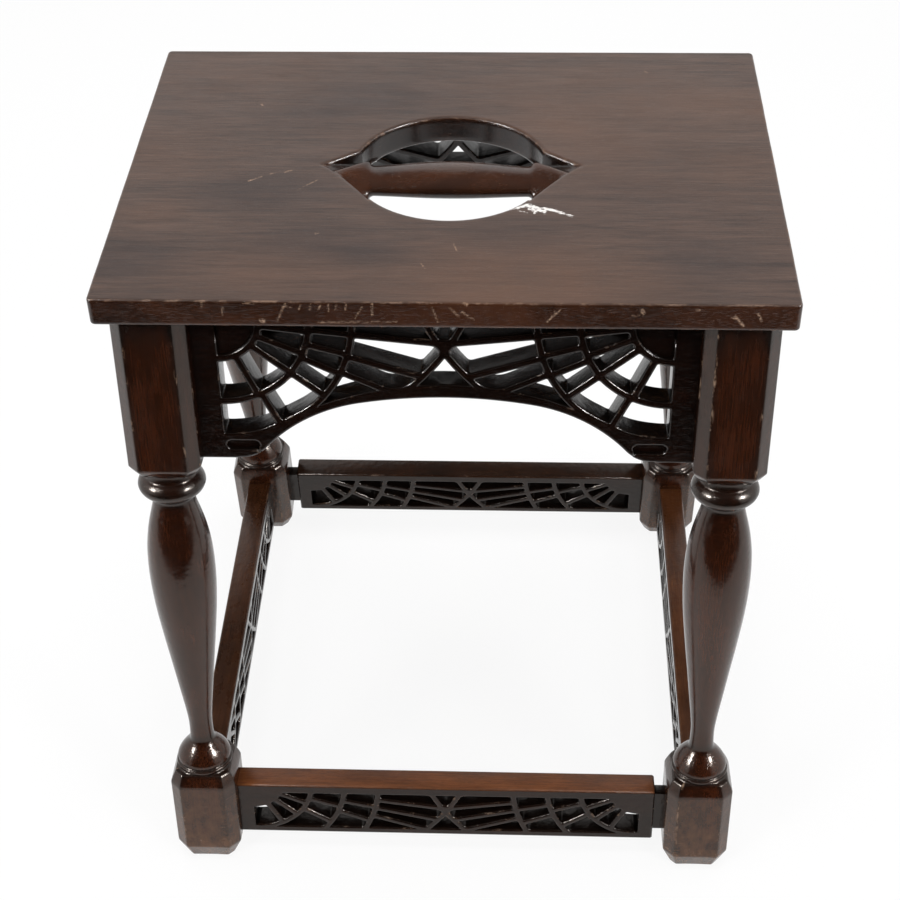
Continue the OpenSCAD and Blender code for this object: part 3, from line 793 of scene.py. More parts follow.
def grip_field(X, Y, Z):
    """Seat round the hand hole: opening, carved points and the grip bar."""
    top = SEAT_HALF_THICKNESS
    ax = np.abs(X)
    board = np.abs(Z) - top
    left_open = smooth_min(ax - KNUCKLE[0], KNUCKLE[1] - Y, 3)
    through = smooth_max(np.hypot(X, Y) - HOLE_RADIUS, left_open, 5)
    solid = smooth_max(board, -through, RIM_BLEND)
    carved = np.maximum(opening_outline(ax, Y), (scoop_height(ax, Y) - Z) * 0.8)
    solid = smooth_max(solid, -carved, CARVING_BLEND)
    swell = (1 + np.cos(math.pi * np.clip(ax / HOLE_RADIUS, 0, 1))) / 2
    width = GRIP_END + (GRIP_MIDDLE - GRIP_END) * swell
    bar = ellipse_field(Y + 1.6 - 0.8 * swell, Z + 0.8 - 0.6 * swell, width, width * GRIP_FLAT)
    bar = np.maximum(bar, ax - HOLE_RADIUS)
    return np.maximum(smooth_min(solid, bar, BAR_BLEND), board)


def surface_net(field, xs, ys, zs):
    """Quads and points where a 3-D field changes sign."""
    inside = field < 0
    cells = np.zeros([n - 1 for n in field.shape], int)
    for corner in np.ndindex(2, 2, 2):
        cells += inside[tuple(slice(c, n - 1 + c) for c, n in zip(corner, field.shape))]
    active = (cells > 0) & (cells < 8)
    number = np.full(active.shape, -1)
    number[active] = np.arange(active.sum())
    i, j, k = np.nonzero(active)
    total = np.zeros((len(i), 3))
    hits = np.zeros(len(i))
    base = np.stack([i, j, k], 1)
    for axis in range(3):
        for a, b in np.ndindex(2, 2):
            start = base.copy()
            start[:, (axis + 1) % 3] += a
            start[:, (axis + 2) % 3] += b
            end = start.copy()
            end[:, axis] += 1
            f0, f1 = field[tuple(start.T)], field[tuple(end.T)]
            cut = (f0 < 0) != (f1 < 0)
            t = np.where(cut, f0 / np.where(cut, f0 - f1, 1), 0)
            total += np.where(cut[:, None], start + t[:, None] * (end - start), 0)
            hits += cut
    grid = total / hits[:, None]
    step = np.array([xs[1] - xs[0], ys[1] - ys[0], zs[1] - zs[0]])
    points = np.array([xs[0], ys[0], zs[0]]) + grid * step
    quads = []
    for axis in range(3):
        u, v = (axis + 1) % 3, (axis + 2) % 3
        low = [slice(1, -1)] * 3
        high = [slice(1, -1)] * 3
        low[axis], high[axis] = slice(0, -1), slice(1, None)
        a, b = inside[tuple(low)], inside[tuple(high)]
        for sign in (True, False):
            at = np.stack(np.nonzero((a != b) & (a == sign)), 1)
            at[:, u] += 1
            at[:, v] += 1
            corner = []
            for du, dv in ((-1, -1), (0, -1), (0, 0), (-1, 0)):
                where = at.copy()
                where[:, u] += du
                where[:, v] += dv
                corner.append(number[tuple(where.T)])
            quad = np.stack(corner, 1)
            quads.append(quad if sign else quad[:, ::-1])
    return points, np.vstack(quads)


def on_surface(points, rounds=3, nudge=0.02):
    """Moves points onto the zero of the grip's field along its slope."""
    for _ in range(rounds):
        value = grip_field(*points.T)
        slope = np.stack([
            (grip_field(*(points + nudge * unit).T) - grip_field(*(points - nudge * unit).T)) / (2 * nudge)
            for unit in np.eye(3)], 1)
        steep = np.maximum(np.sum(slope ** 2, 1), 0.1)
        move = slope * (value / steep)[:, None]
        points = points - np.clip(move, -VOXEL / 2, VOXEL / 2)
    return points


def rounded_rectangle(half_x, half_y, corner, spacing, front_spacing):
    """Loop of points round a rectangle, anticlockwise, closer together along the front."""
    steps = 6
    points = []
    for k, (sx, sy) in enumerate(((1, -1), (1, 1), (-1, 1), (-1, -1))):
        centre = np.array([sx * (half_x - corner), sy * (half_y - corner)])
        angles = np.linspace(-math.pi / 2, 0, steps + 1) + k * math.pi / 2
        points.append(centre + corner * np.stack([np.cos(angles), np.sin(angles)], 1))
    loop = np.vstack(points)
    dense = []
    for a, b in zip(loop, np.roll(loop, -1, axis=0)):
        at_front = max(a[1], b[1]) < -half_y + 0.01
        parts = max(int(np.hypot(*(b - a)) / (front_spacing if at_front else spacing)), 1)
        dense += [a + (b - a) * t for t in np.arange(parts) / parts]
    return np.array(dense)


# Marks are (start, end, half width), from the middle of the seat.
# Chipped white scuff that runs off the front right of the hand opening:
SCUFF = [
    ((27, -49), (36, -45), 0.5), ((36, -45), (42, -42), 0.9), ((42, -41.5), (47, -44), 1.5),
    ((38, -47.6), (42, -49.2), 0.5), ((44, -46), (52, -47.5), 1.2), ((46.3, -49.7), (48.6, -44.5), 0.6),
    ((48.6, -44.5), (51.9, -49.2), 0.7), ((52, -45), (57.5, -47.2), 1.3), ((57.5, -47.2), (62, -49.6), 1.1),
    ((62, -49.6), (66.5, -52.3), 0.6),
]

# Light scratches on the top, then on the front edge (x and depth below the top of each end).
TOP_SCRATCHES = [
    ((-111, -19), (-104, -14), 0.25), ((-100, -11.5), (-97, -10.5), 0.2), ((-92, -9.5), (-88, -7.5), 0.25),
    ((-83, -28), (-73, -17.5), 0.1), ((-69, -71), (-68, -70), 0.5), ((-114, 66), (-113.5, 65), 0.4),
    ((4, -79), (6, -86), 0.1), ((-12, -98), (-10, -102), 0.15), ((112, 109), (114, 106), 0.3),
]
EDGE_SCRATCHES = [
    (-121, 1, -121, 3.5, 0.45), (-110.7, 4, -111, 9, 0.3), (-78.8, 1.5, -84, 13, 0.4), (-80, 3, -76, 4, 0.3),
    (-71, 2, -72, 5, 0.3), (-66, 1.5, -66.5, 5, 0.3), (-61, 2, -62, 4.5, 0.35), (-57, 1.5, -57, 6, 0.3),
    (-53, 2, -54, 5, 0.3), (-48, 1.5, -48.5, 5, 0.3), (-40, 3, -44, 10, 0.3), (-35, 0.8, -35.2, 8, 0.45),
    (-62.8, 12.6, -22.7, 12.3, 0.3), (-91.5, 11.8, -90.5, 12.4, 1.1), (-100, 1.4, -93, 1.0, 0.3),
    (-5, 3, -2.2, 12, 0.3), (4, 3, 8, 8, 0.35), (10, 5.5, 16, 10.5, 0.35), (11, 0.4, 12.5, 1.0, 0.8),
    (53, 11, 59.5, 3.5, 0.4), (55, 8, 56.5, 5, 0.3), (95, 7.5, 99, 6.5, 0.3), (99.8, 3.5, 100.8, 5.5, 0.8),
    (127, 3, 128.5, 3.2, 0.4), (146, 6.5, 151, 12.5, 0.55), (144.5, 8, 148, 8.5, 0.3),
    (157.6, 5, 159.8, 9.5, 0.45),
]
# Soft stains are (x, y, radius, strength).
DARK_STAINS = [
    (-100, -32, 32, 0.9), (-75, -78, 34, 0.7), (-50, 78, 40, 0.55), (38, -74, 24, 0.6), (135, -92, 28, 0.7),
    (-165, -95, 30, 0.7), (40, 20, 120, 0.1), (-90, 50, 26, 0.45), (110, -30, 26, 0.35), (-35, -90, 18, 0.6),
]
WARM_STAINS = [
    (40, -116, 60, 0.9), (-90, -110, 40, 0.5), (80, 70, 60, 0.6), (-165, 10, 40, 0.3), (165, 60, 40, 0.5),
    (70, 30, 40, 0.45), (-120, 118, 60, 0.3), (-160, -52, 18, 0.5), (120, 0, 60, 0.35),
]


def segment_mask(points, segments, soft):
    """Mask of marks on the points; each one is (start, end, half width) in millimetres."""
    mask = np.zeros(len(points))
    for start, end, width in segments:
        start, end = np.array(start, float), np.array(end, float)
        line = end - start
        share = np.clip(((points - start) @ line) / (line @ line), 0, 1)
        gap = np.linalg.norm(points - start - share[:, None] * line, axis=1)
        mask = np.maximum(mask, np.clip((width + soft - gap) / (2 * soft), 0, 1))
    return mask


def stain_mask(points, stains):
    """Mask of soft patches, longer along the grain."""
    total = np.zeros(len(points))
    for x, y, radius, strength in stains:
        gap = np.hypot((points[:, 0] - x) * 0.7, (points[:, 1] - y) * 1.2) / radius
        share = np.clip(1.2 - gap, 0, 1)
        total += strength * share * share * (3 - 2 * share)
    return np.clip(total, 0, 1)


def seat_masks(points):
    """Marks and stains of the seat, as masks on its points."""
    top = SEAT_HALF_THICKNESS
    scuff = [((*a, top), (*b, top), w) for a, b, w in SCUFF]
    scratches = [((*a, top), (*b, top), w) for a, b, w in TOP_SCRATCHES]
    front = -SEAT_HALF_DEPTH
    scratches += [((x1, front, top - d1), (x2, front, top - d2), w) for x1, d1, x2, d2, w in EDGE_SCRATCHES]
    return {
        "scuff": segment_mask(points, scuff, 0.9),
        "scratch": segment_mask(points, scratches, 0.3),
        "cool": stain_mask(points, DARK_STAINS),
        "warm": stain_mask(points, WARM_STAINS),
    }


def make_seat():
    """Seat board: a carved patch round the hand opening, a flat cap on each face and an eased edge."""
    shape = Shape()
    reach_x, reach_y = GRIP_PATCH
    top = SEAT_HALF_THICKNESS
    xs = np.arange(-reach_x, reach_x + VOXEL / 2, VOXEL)
    ys = np.arange(-reach_y, reach_y + VOXEL / 2, VOXEL)
    zs = np.arange(-top - 1.5 * VOXEL, top + 1.6 * VOXEL, VOXEL)
    points, quads = surface_net(grip_field(*np.meshgrid(xs, ys, zs, indexing="ij")), xs, ys, zs)
    points = on_surface(points)
    edge_x, edge_y = reach_x - VOXEL / 2, reach_y - VOXEL / 2
    rim = np.abs(np.abs(points[:, 0]) - edge_x) < VOXEL / 4
    rim |= np.abs(np.abs(points[:, 1]) - edge_y) < VOXEL / 4
    used = np.unique(quads)
    rim &= np.isin(np.arange(len(points)), used)
    ax = np.abs(points[:, 0])
    # Painted shade inside the hand opening, less on the grip bar; wear and a painted highlight along its rim.
    sunk_shade = np.clip((top - points[:, 2]) / 2.2, 0, 1) * np.clip((top + points[:, 2]) / 2.2, 0, 1)
    on_bar = np.clip(1.3 - np.abs(points[:, 1] + 1) / (GRIP_MIDDLE + 1), 0, 1) * (ax < HOLE_RADIUS)
    facet = np.clip((ridge_line(ax) - points[:, 1]) / 2 + 0.5, 0, 1) * (ax > KNUCKLE[0] - 1)
    on_bar = np.maximum(on_bar, facet)
    depth = top - points[:, 2]
    rim_wear_and_highlight = np.exp(-((depth - 0.7) / 0.45) ** 2) * (depth > 0.05)
    start = shape.add_points(points + [0, HOLE_Y, 0], rim_wear_and_highlight * (1 - on_bar), sunk_shade * (1 - 0.75 * on_bar))
    shape.add_faces(quads + start)
    outline = rounded_rectangle(SEAT_HALF_LENGTH - SEAT_EDGE, SEAT_HALF_DEPTH - SEAT_EDGE,
                                SEAT_CORNER - SEAT_EDGE, 3.0, 0.6)
    first, last = add_seat_rim(shape, outline, top)
    for facing, outer_start in ((1, first), (-1, last)):
        ring = np.nonzero(rim & (points[:, 2] * facing > 0))[0]
        ring = ring[np.argsort(np.arctan2(points[ring, 1] / edge_y, points[ring, 0] / edge_x))]
        add_seat_cap(shape, outline, outer_start, points[ring, :2] + [0, HOLE_Y], ring + start, facing)
    place_piece("seat_look", shape,
                lambda p: p + [0, 0, SEAT_UNDER + SEAT_HALF_THICKNESS],
                lambda p: p, seat_wood, "seat", seat_masks)


def add_seat_rim(shape, outline, top):
    """Eased edge of the board; returns the first point of its top and bottom rows."""
    turns = np.linspace(0, math.pi / 2, 5)
    wall = np.linspace(top - SEAT_EDGE, -top + SEAT_EDGE, WALL_ROWS)[1:-1]
    outward = np.concatenate([np.sin(turns), np.ones(len(wall)), np.sin(turns[::-1])]) * SEAT_EDGE
    drop = (np.cos(turns) - 1) * SEAT_EDGE
    height = np.concatenate([top + drop, wall, -top - drop[::-1]])
    # Wear and a painted highlight along the eased edges.
    rubbed_and_lit = np.concatenate([np.sin(2 * turns) ** 3, wall * 0, 0.6 * np.sin(2 * turns[::-1]) ** 3])
    along = unit(np.roll(outline, -1, axis=0) - np.roll(outline, 1, axis=0))
    normal = np.stack([along[:, 1], -along[:, 0]], 1)
    count = len(outline)
    sway = 0.05 * np.sin(outline @ [0.061, 0.083]) + 0.02 * np.sin(outline @ [0.31, 0.37])
    rings = []
    for o, h in zip(outward, height):
        edge = outline + normal * (o - (0.2 + sway) * min(o, 1))[:, None]
        rings.append(np.column_stack([edge, np.full(count, h)]))
    start = shape.add_points(np.vstack(rings), np.repeat(rubbed_and_lit, count))
    shape.add_faces(rows_of_quads(start, len(rings), count)[:, ::-1])
    return start, start + (len(rings) - 1) * count


def add_seat_cap(shape, outline, first, ring, ring_numbers, facing):
    """Flat face of the seat between its edge and the patch round the hand hole."""
    low, high = ring.min(0), ring.max(0)
    x = np.arange(-SEAT_HALF_LENGTH + 4, SEAT_HALF_LENGTH - 3, CAP_SPACING)
    y = np.arange(-SEAT_HALF_DEPTH + 4, SEAT_HALF_DEPTH - 3, CAP_SPACING)
    grid = np.stack(np.meshgrid(x, y), -1).reshape(-1, 2)
    fine = [grid]
    for start, end, _ in TOP_SCRATCHES:
        corners = np.array([start, end])
        spans = [np.arange(corners[:, k].min() - 2, corners[:, k].max() + 2, 0.6) for k in range(2)]
        fine.append(np.stack(np.meshgrid(*spans), -1).reshape(-1, 2))
    grid = np.vstack(fine)
    grid = grid[np.any((grid < low - 2) | (grid > high + 2), axis=1)] if facing > 0 else grid[:0]
    inner = shape.add_points(np.column_stack([grid, np.full(len(grid), facing * SEAT_HALF_THICKNESS)]))
    numbers = np.concatenate([first + np.arange(len(outline)), ring_numbers, inner + np.arange(len(grid))])
    flat = np.vstack([outline, ring, grid])
    edges = []
    for start, count in ((0, len(outline)), (len(outline), len(ring))):
        edges += [(start + i, start + (i + 1) % count) for i in range(count)]
    result = delaunay_2d_cdt([Vector(p) for p in flat], edges, [], 1, 1e-7)
    place, faces, origin = np.array([tuple(v) for v in result[0]]), result[2], result[3]
    kept = []
    for a, b, c in faces:
        middle = place[[a, b, c]].mean(0)
        if np.all((middle > low) & (middle < high)):
            continue
        turn = np.cross(place[b] - place[a], place[c] - place[a])
        a, b, c = (numbers[origin[v][0]] for v in (a, b, c))
        kept.append((a, b, c) if turn * facing > 0 else (a, c, b))
    shape.add_faces(kept, smooth=False)


# ---------------------------------------------------------------- materials


class Graph:
    """Small helper that adds and links shader nodes."""

    def __init__(self, owner):
        owner.use_nodes = True
        self.tree = owner.node_tree
        self.tree.nodes.clear()

    def add(self, kind, inputs=None, **settings):
        node = self.tree.nodes.new(kind)
        for key, value in settings.items():
            setattr(node, key, value)
        for key, value in (inputs or {}).items():
            self.feed(node.inputs[key], value)
        return node

    def feed(self, socket, value):
        if isinstance(value, bpy.types.NodeSocket):
            self.tree.links.new(value, socket)
        else:
            socket.default_value = value

    def math(self, operation, a, b, clamp=False):
        node = self.add("ShaderNodeMath", {0: a, 1: b}, operation=operation, use_clamp=clamp)
        return node.outputs[0]

    def times(self, a, b, clamp=False):
        return self.math("MULTIPLY", a, b, clamp)

    def plus(self, a, b, clamp=False):
        return self.math("ADD", a, b, clamp)

    def minus(self, a, b):
        return self.math("SUBTRACT", a, b)

    def larger(self, a, b):
        return self.math("MAXIMUM", a, b)

    def attribute(self, name, output="Fac"):
        return self.add("ShaderNodeAttribute", attribute_name=name).outputs[output]

    def separate(self, vector):
        return self.add("ShaderNodeSeparateXYZ", {0: vector}).outputs

    def mix(self, share, a, b):
        node = self.add("ShaderNodeMix", data_type="RGBA")
        self.feed(node.inputs[0], share)
        self.feed(node.inputs[6], a)
        self.feed(node.inputs[7], b)
        return node.outputs[2]

    def coat(self, body, mask, share, paint):
        """Paint over the body where the mask is, up to a share of it."""
        return self.mix(self.times(mask, share), body, paint)

    def remap(self, value, low, high, out_low=0.0, out_high=1.0):
        node = self.add("ShaderNodeMapRange", {"Value": value, "From Min": low, "From Max": high,
                                               "To Min": out_low, "To Max": out_high}, clamp=True)
        return node.outputs["Result"]

    def noise(self, vector, stretch, detail, roughness, distortion=0.0, lift=0.0):
        placed = self.add("ShaderNodeMapping", {"Vector": vector, "Scale": stretch,
                                                "Location": (lift, lift, lift)})
        node = self.add("ShaderNodeTexNoise", {"Vector": placed.outputs[0], "Scale": 1.0, "Detail": detail,
                                               "Roughness": roughness, "Distortion": distortion})
        return node.outputs["Fac"]

    def finish(self, surface, kind="ShaderNodeOutputMaterial"):
        self.add(kind, {0: surface.outputs[0]})


def new_look(name):
    """A new material and the graph of its nodes."""
    material = bpy.data.materials.new(name)
    return material, Graph(material)


def colour(r, g, b):
    """sRGB 0-255 to a linear colour."""
    def linear(v):
        v /= 255
        return v / 12.92 if v <= 0.04045 else ((v + 0.055) / 1.055) ** 2.4
    return linear(r), linear(g), linear(b), 1.0


WHITE = (1.0, 1.0, 1.0, 1.0)


def finish_wood(g, body, rough, height, strength, level, tint=WHITE):
    """Shader of a wood, with its relief as bump and its gloss by level and tint."""
    bump = g.add("ShaderNodeBump", {"Height": height, "Strength": strength, "Distance": 0.0004})
    shader = g.add("ShaderNodeBsdfPrincipled", {
        "Base Color": body, "Roughness": rough, "Normal": bump.outputs[0],
        "Specular IOR Level": level, "Specular Tint": tint,
    })
    g.finish(shader)


def wood_body(g, grain, dark, light):
    """Colour of clean wood with its figure, fine streaks and pores, and their height."""
    figure = g.noise(grain, (1.0, 13, 13), 5, 0.62, 0.5)
    streaks = g.noise(grain, (5, 130, 130), 4, 0.65, 0.2)
    pores = g.noise(grain, (22, 420, 420), 2, 0.5)
    blend = g.times(g.remap(figure, 0.28, 0.72), 0.45)
    blend = g.plus(blend, g.times(g.remap(streaks, 0.34, 0.66), 0.55))
    body = g.mix(blend, dark, light)
    pits = g.remap(pores, 0.60, 0.72)
    body = g.coat(body, pits, 0.5, tuple(v * 0.4 for v in dark[:3]) + (1.0,))
    height = g.minus(g.times(streaks, 0.5), g.times(pits, 0.6))
    return body, height


def dark_wood_material(name, dark, light, wear_and_highlight_share, carving, dull_walls, level, tint):
    """Turned and fretted parts: deep red-brown stain under a polished film."""
    material, g = new_look(name)
    grain = g.attribute("grain", "Vector")
    body, figure = wood_body(g, grain, dark, light)
    stain = g.noise(grain, (1.6, 3.2, 3.2), 4, 0.6, 0.4, 7.0)
    body = g.mix(g.remap(stain, 0.38, 0.7, 0.0, 0.75), body, dark)
    patch = g.noise(grain, (7, 22, 22), 6, 0.72, 0.0, 3.0)
    # Lighter top edges of the stretchers: wear and painted light.
    crown = g.times(g.attribute("crown"), g.remap(stain, 0.25, 0.7, 1.1, 0.6), clamp=True)
    body = g.mix(crown, body, g.mix(g.remap(figure, 0.15, 0.35), colour(92, 48, 22), colour(130, 78, 42)))
    # Near-black painted shade, with grime, on walls, in grooves and under the seat.
    shade_and_grime = g.times(g.attribute("shade_and_grime"), g.remap(patch, 0.3, 0.6, 1.0, 0.65))
    shade_and_grime = g.times(shade_and_grime, g.minus(1.0, crown))
    body = g.mix(shade_and_grime, body, colour(12, 7, 5))
    # Wear, and painted highlights along the rounded edges.
    rubbed_and_lit = g.times(g.attribute("wear_and_highlight"), g.remap(patch, 0.56, 0.66))
    body = g.coat(body, rubbed_and_lit, wear_and_highlight_share, colour(158, 128, 104))
    foot = g.attribute("foot")
    kicked = g.times(foot, g.remap(g.noise(grain, (9, 12, 12), 5, 0.7, 0.0, 23.0), 0.35, 0.65))
    body = g.coat(body, kicked, 0.6, colour(116, 78, 50))
    scrapes = g.remap(g.noise(grain, (130, 5, 5), 3, 0.6, 0.3, 29.0), 0.62, 0.72)
    scrapes = g.times(g.times(scrapes, foot), g.remap(patch, 0.45, 0.6))
    body = g.coat(body, scrapes, 0.6, colour(168, 134, 106))
    smear = g.noise(grain, (5, 9, 9), 5, 0.65, 0.0, 11.0)
    rough = g.remap(smear, 0.3, 0.7, 0.11, 0.22)
    for share, mask in ((dull_walls, shade_and_grime), (0.3, crown), (0.3, rubbed_and_lit), (0.12, kicked)):
        rough = g.plus(rough, g.times(mask, share))
    carved = g.noise(grain, (24, 24, 24), 3, 0.55, 0.0, 17.0)
    height = g.plus(g.times(figure, 0.12), g.times(carved, carving))
    height = g.minus(height, g.times(scrapes, 0.3))
    finish_wood(g, body, rough, height, 0.5, level, tint)
    return material


def seat_wood_material():
    """Seat: satin top with soft stains, redder worn edges with painted highlights, painted shade in the hand
    opening, scratches and one white scuff.
    """
    material, g = new_look("seat_wood_look")
    grain = g.attribute("grain", "Vector")
    dark, light = colour(34, 24, 20), colour(80, 60, 50)
    body, height = wood_body(g, grain, dark, light)
    drift = g.noise(grain, (1.6, 2.6, 2.6), 4, 0.6, 0.5, 7.0)
    ragged = g.remap(drift, 0.3, 0.7, 0.5, 1.3)
    cool = g.times(g.attribute("cool"), ragged, clamp=True)
    body = g.coat(body, cool, 0.6, colour(32, 24, 24))
    warm = g.times(g.attribute("warm"), ragged, clamp=True)
    body = g.coat(body, warm, 0.5, colour(88, 59, 41))
    height_up = g.separate(grain)[2]
    low, high = ((SEAT_HALF_THICKNESS - gap) * MM * GRAIN_SCALE for gap in (1.2, 0.3))
    side = g.remap(height_up, low, high, 1.0, 0.0)
    red_body = g.mix(g.remap(drift, 0.35, 0.65), colour(32, 14, 6), colour(62, 32, 15))
    body = g.coat(body, side, 0.9, red_body)
    patch = g.noise(grain, (14, 30, 30), 6, 0.75, 0.0, 3.0)
    # Near-black painted shade inside the hand opening.
    shade_and_grime = g.times(g.attribute("shade_and_grime"), g.remap(patch, 0.3, 0.65, 1.0, 0.6))
    body = g.mix(shade_and_grime, body, colour(14, 9, 7))
    # Wear and painted highlights on the eased edges and the rim of the opening.
    rubbed_and_lit = g.times(g.attribute("wear_and_highlight"), g.remap(patch, 0.5, 0.62))
    body = g.coat(body, rubbed_and_lit, 0.65, colour(140, 108, 84))
    chips = g.noise(grain, (60, 120, 120), 5, 0.7)
    scuff = g.plus(g.attribute("scuff"), g.times(g.minus(chips, 0.5), 3.2))
    scuff = g.times(g.remap(scuff, 0.4, 0.85, 0.0, 0.9), g.remap(g.attribute("scuff"), 0.05, 0.3))
    body = g.mix(scuff, body, colour(226, 222, 218))
    lines = g.times(g.attribute("scratch"), g.remap(chips, 0.45, 0.58))
    specks = g.times(g.remap(chips, 0.66, 0.72), g.times(side, 0.4))
    lines = g.larger(lines, specks)
    body = g.coat(body, lines, 0.75, colour(205, 168, 138))
    smear = g.noise(grain, (4, 7, 7), 5, 0.65, 0.0, 11.0)
    rough = g.remap(smear, 0.3, 0.7, 0.30, 0.42)
    rough = g.times(rough, g.minus(1.0, g.times(side, 0.55)))
    rough = g.plus(rough, g.times(g.larger(scuff, rubbed_and_lit), 0.35), clamp=True)
    height = g.minus(g.times(height, 0.5), g.times(g.larger(scuff, lines), 0.6))
    finish_wood(g, body, rough, height, 0.35, 0.5)
    return material


def raw_wood_material():
    """Glue blocks: unstained softwood, sawn and dusty."""
    material, g = new_look("raw_wood_look")
    place = g.add("ShaderNodeTexCoord").outputs["Object"]
    grain = g.add("ShaderNodeVectorMath", {0: place, 1: (10, 10, 10)}, operation="MULTIPLY").outputs[0]
    body, height = wood_body(g, grain, colour(104, 70, 42), colour(156, 116, 76))
    dust = g.noise(grain, (6, 6, 6), 5, 0.65, 0.0, 5.0)
    body = g.mix(g.remap(dust, 0.45, 0.7, 0.0, 0.5), body, colour(84, 62, 46))
    rough = g.remap(dust, 0.3, 0.7, 0.55, 0.75)
    finish_wood(g, body, rough, height, 0.6, 0.4)
    return material


def steel_material():
    """Screws: dull steel with darker spots."""
    material, g = new_look("screw_steel_look")
    place = g.add("ShaderNodeTexCoord").outputs["Object"]
    spots = g.noise(place, (900, 900, 900), 4, 0.6)
    body = g.mix(g.remap(spots, 0.4, 0.7), colour(150, 148, 144), colour(96, 84, 72))
    bump = g.add("ShaderNodeBump", {"Height": spots, "Strength": 0.2, "Distance": 0.0002})
    shader = g.add("ShaderNodeBsdfPrincipled", {
        "Base Color": body, "Metallic": 0.9, "Normal": bump.outputs[0],
        "Roughness": g.remap(spots, 0.3, 0.7, 0.3, 0.55),
    })
    g.finish(shader)
    return material


# Each dark wood has a dark and a light colour, shares of wear with painted highlight, carving and dull walls,
# and the level and tint of its gloss. The frieze's darker colours paint the shade under the seat.
leg_wood = dark_wood_material(
    "leg_wood_look", colour(24, 9, 4), colour(70, 34, 17), 0.7, 0.8, 0.1, 0.5, (1.0, 0.9, 0.82, 1.0))
# Darker colours here are painted shade under the seat.
frieze_shade_wood = dark_wood_material(
    "frieze_shade_wood_look", colour(9, 4, 2), colour(30, 14, 8), 0.3, 1.2, 0.08, 0.42, (1.0, 0.97, 0.95, 1.0))
stretcher_wood = dark_wood_material(
    "stretcher_wood_look", colour(12, 6, 4), colour(40, 21, 12), 0.3, 1.6, 0.02, 0.35, (1.0, 0.92, 0.86, 1.0))
seat_wood = seat_wood_material()
raw_wood = raw_wood_material()
screw_steel = steel_material()

# ---------------------------------------------------------------- building

SIDES = ("front", "back", "left", "right")
PIECE_SEEDS = {}
for number, node_name in enumerate(sorted(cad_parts)):
    PIECE_SEEDS[node_name] = number + 1

for side in SIDES:
    make_frieze(side)
    make_stretcher(side)
for side in ("left", "right"):
    for end in ("front", "back"):
        make_leg(side, end)
make_seat()

for node_name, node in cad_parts.items():
    if node_name.startswith("glue_block"):
        node.data.materials.clear()
        node.data.materials.append(raw_wood)
    if node_name == "block_screws":
        node.data.materials.clear()
        node.data.materials.append(screw_steel)

# ---------------------------------------------------------------- studio

WORLD_LIGHT = 0.35
FLOOR_LIFT = 0.9


def add_sheet(name, corners, material):
    """A flat face with four corners."""
    mesh = bpy.data.meshes.new(name)
    mesh.from_pydata(corners, [], [(0, 1, 2, 3)])
    mesh.materials.append(material)
    return add_object(name, mesh)


def make_floor():
    """Floor that looks white and keeps a soft shadow."""
    reach = 6.0
    material, g = new_look("floor_look")
    paper = g.add("ShaderNodeBsdfDiffuse", {"Color": (0.9, 0.9, 0.9, 1)})
    white = g.add("ShaderNodeEmission", {"Color": WHITE, "Strength": 1.0})
    share = g.times(seen_rays(g), FLOOR_LIFT)
    g.finish(g.add("ShaderNodeMixShader", {0: share, 1: paper.outputs[0], 2: white.outputs[0]}))
    corners = [(-reach, -reach, 0), (reach, -reach, 0), (reach, reach, 0), (-reach, reach, 0)]
    floor = add_sheet("floor", corners, material)


def add_softbox(name, place, target, width, height, power, reflected=True, lighting=True):
    """Rectangular lamp that points at a target."""
    light = bpy.data.lights.new(name, "AREA")
    light.shape = "RECTANGLE"
    light.size = width
    light.size_y = height
    light.energy = power
    lamp = add_object(name, light)
    lamp.location = place
    lamp.visible_glossy = reflected
    lamp.visible_diffuse = lighting
    lamp.rotation_euler = (Vector(target) - Vector(place)).to_track_quat("-Z", "Y").to_euler()


def seen_rays(g):
    """1 for the rays that see the background itself, 0 for the light that it gives."""
    path = g.add("ShaderNodeLightPath").outputs
    seen = g.plus(path["Is Camera Ray"], path["Is Glossy Ray"])
    return g.plus(seen, path["Is Transmission Ray"], clamp=True)


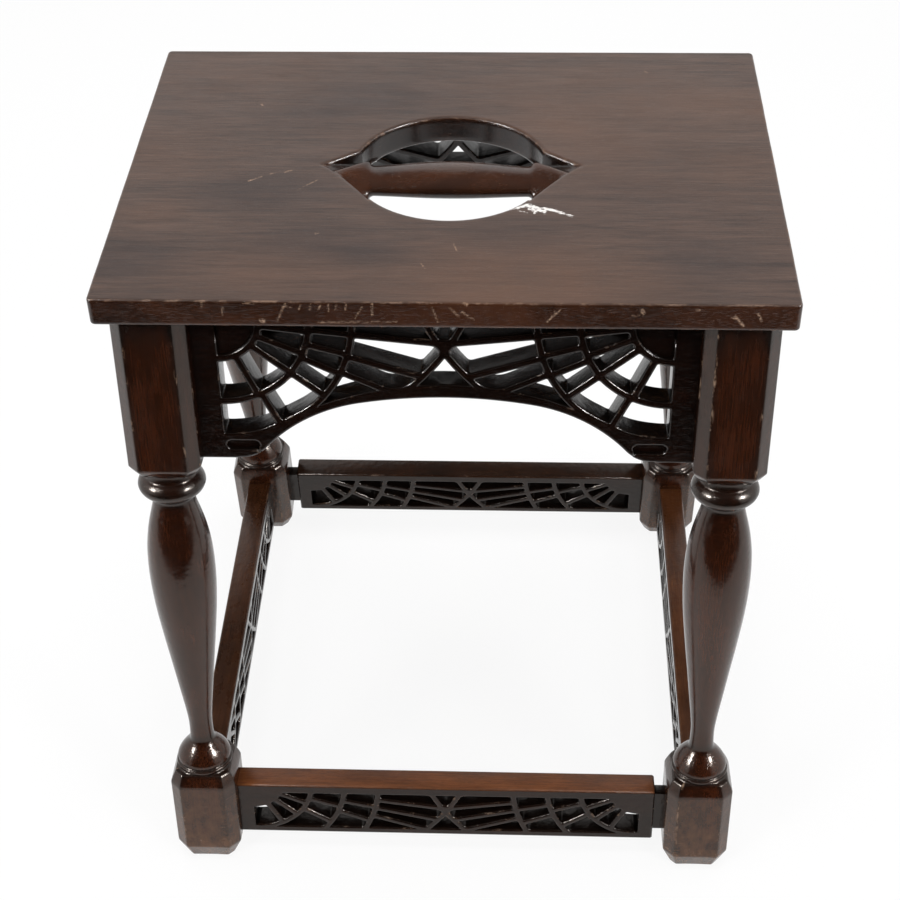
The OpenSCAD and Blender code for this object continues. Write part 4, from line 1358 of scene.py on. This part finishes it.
def make_world():
    """White backdrop all round, with a dimmer ceiling."""
    world = bpy.data.worlds.new("studio")
    bpy.context.scene.world = world
    g = Graph(world)
    height = g.separate(g.add("ShaderNodeTexCoord").outputs["Generated"])[2]
    ceiling = g.mix(g.remap(height, 0.54, 0.68), (1, 1, 1, 1), (0.12, 0.12, 0.12, 1))
    strength = g.remap(seen_rays(g), 0, 1, WORLD_LIGHT, 1.0)
    sky = g.add("ShaderNodeBackground", {"Color": ceiling, "Strength": strength})
    g.finish(sky, "ShaderNodeOutputWorld")


def make_flags():
    """Black cards in front of the stool, seen only in reflections."""
    material, g = new_look("flag_look")
    shader = g.add("ShaderNodeBsdfDiffuse", {"Color": (0.01, 0.01, 0.01, 1)})
    g.finish(shader)
    near, far, wide, tall = -0.56, -3.0, 3.2, 3.4
    cards = {
        "flag_low": [(-wide, far, 0.002), (wide, far, 0.002), (wide, near, 0.002), (-wide, near, 0.002)],
        "flag_front": [(-wide, far, 0), (wide, far, 0), (wide, far, tall), (-wide, far, tall)],
    }
    for name, corners in cards.items():
        card = add_sheet(name, corners, material)
        card.visible_camera = False
        card.visible_diffuse = False
        card.visible_shadow = False
        card.visible_transmission = False


def make_camera():
    """Camera at the height and tilt of someone looking down at the stool."""
    tilt, yaw, roll = -0.706466, -0.048999, -0.019924
    data = bpy.data.cameras.new("camera")
    data.sensor_width = 36
    data.lens = 69.443
    camera = add_object("camera", data)
    turn = Matrix.Rotation(-yaw, 4, "Z") @ Matrix.Rotation(math.pi / 2 + tilt, 4, "X")
    turn = turn @ Matrix.Rotation(roll, 4, "Z")
    camera.matrix_world = Matrix.Translation((0.03732, -0.838727, 0.913947)) @ turn
    bpy.context.scene.camera = camera


make_floor()
make_flags()
make_world()
for side, sign in (("left", -1), ("right", 1)):
    add_softbox(f"softbox_{side}", (sign * 1.35, -1.25, 1.55), (0, 0, 0.25), 0.5, 0.7, 15, reflected=False)
    add_softbox(f"glint_{side}", (sign * 1.7, -0.9, 1.35), (0, 0, 0.25), 0.3, 0.34, 60, lighting=False)
add_softbox("softbox_top", (0, 0.2, 2.2), (0, 0, 0.3), 1.8, 1.4, 50, reflected=False)
make_camera()
bpy.context.scene.view_settings.view_transform = "Standard"
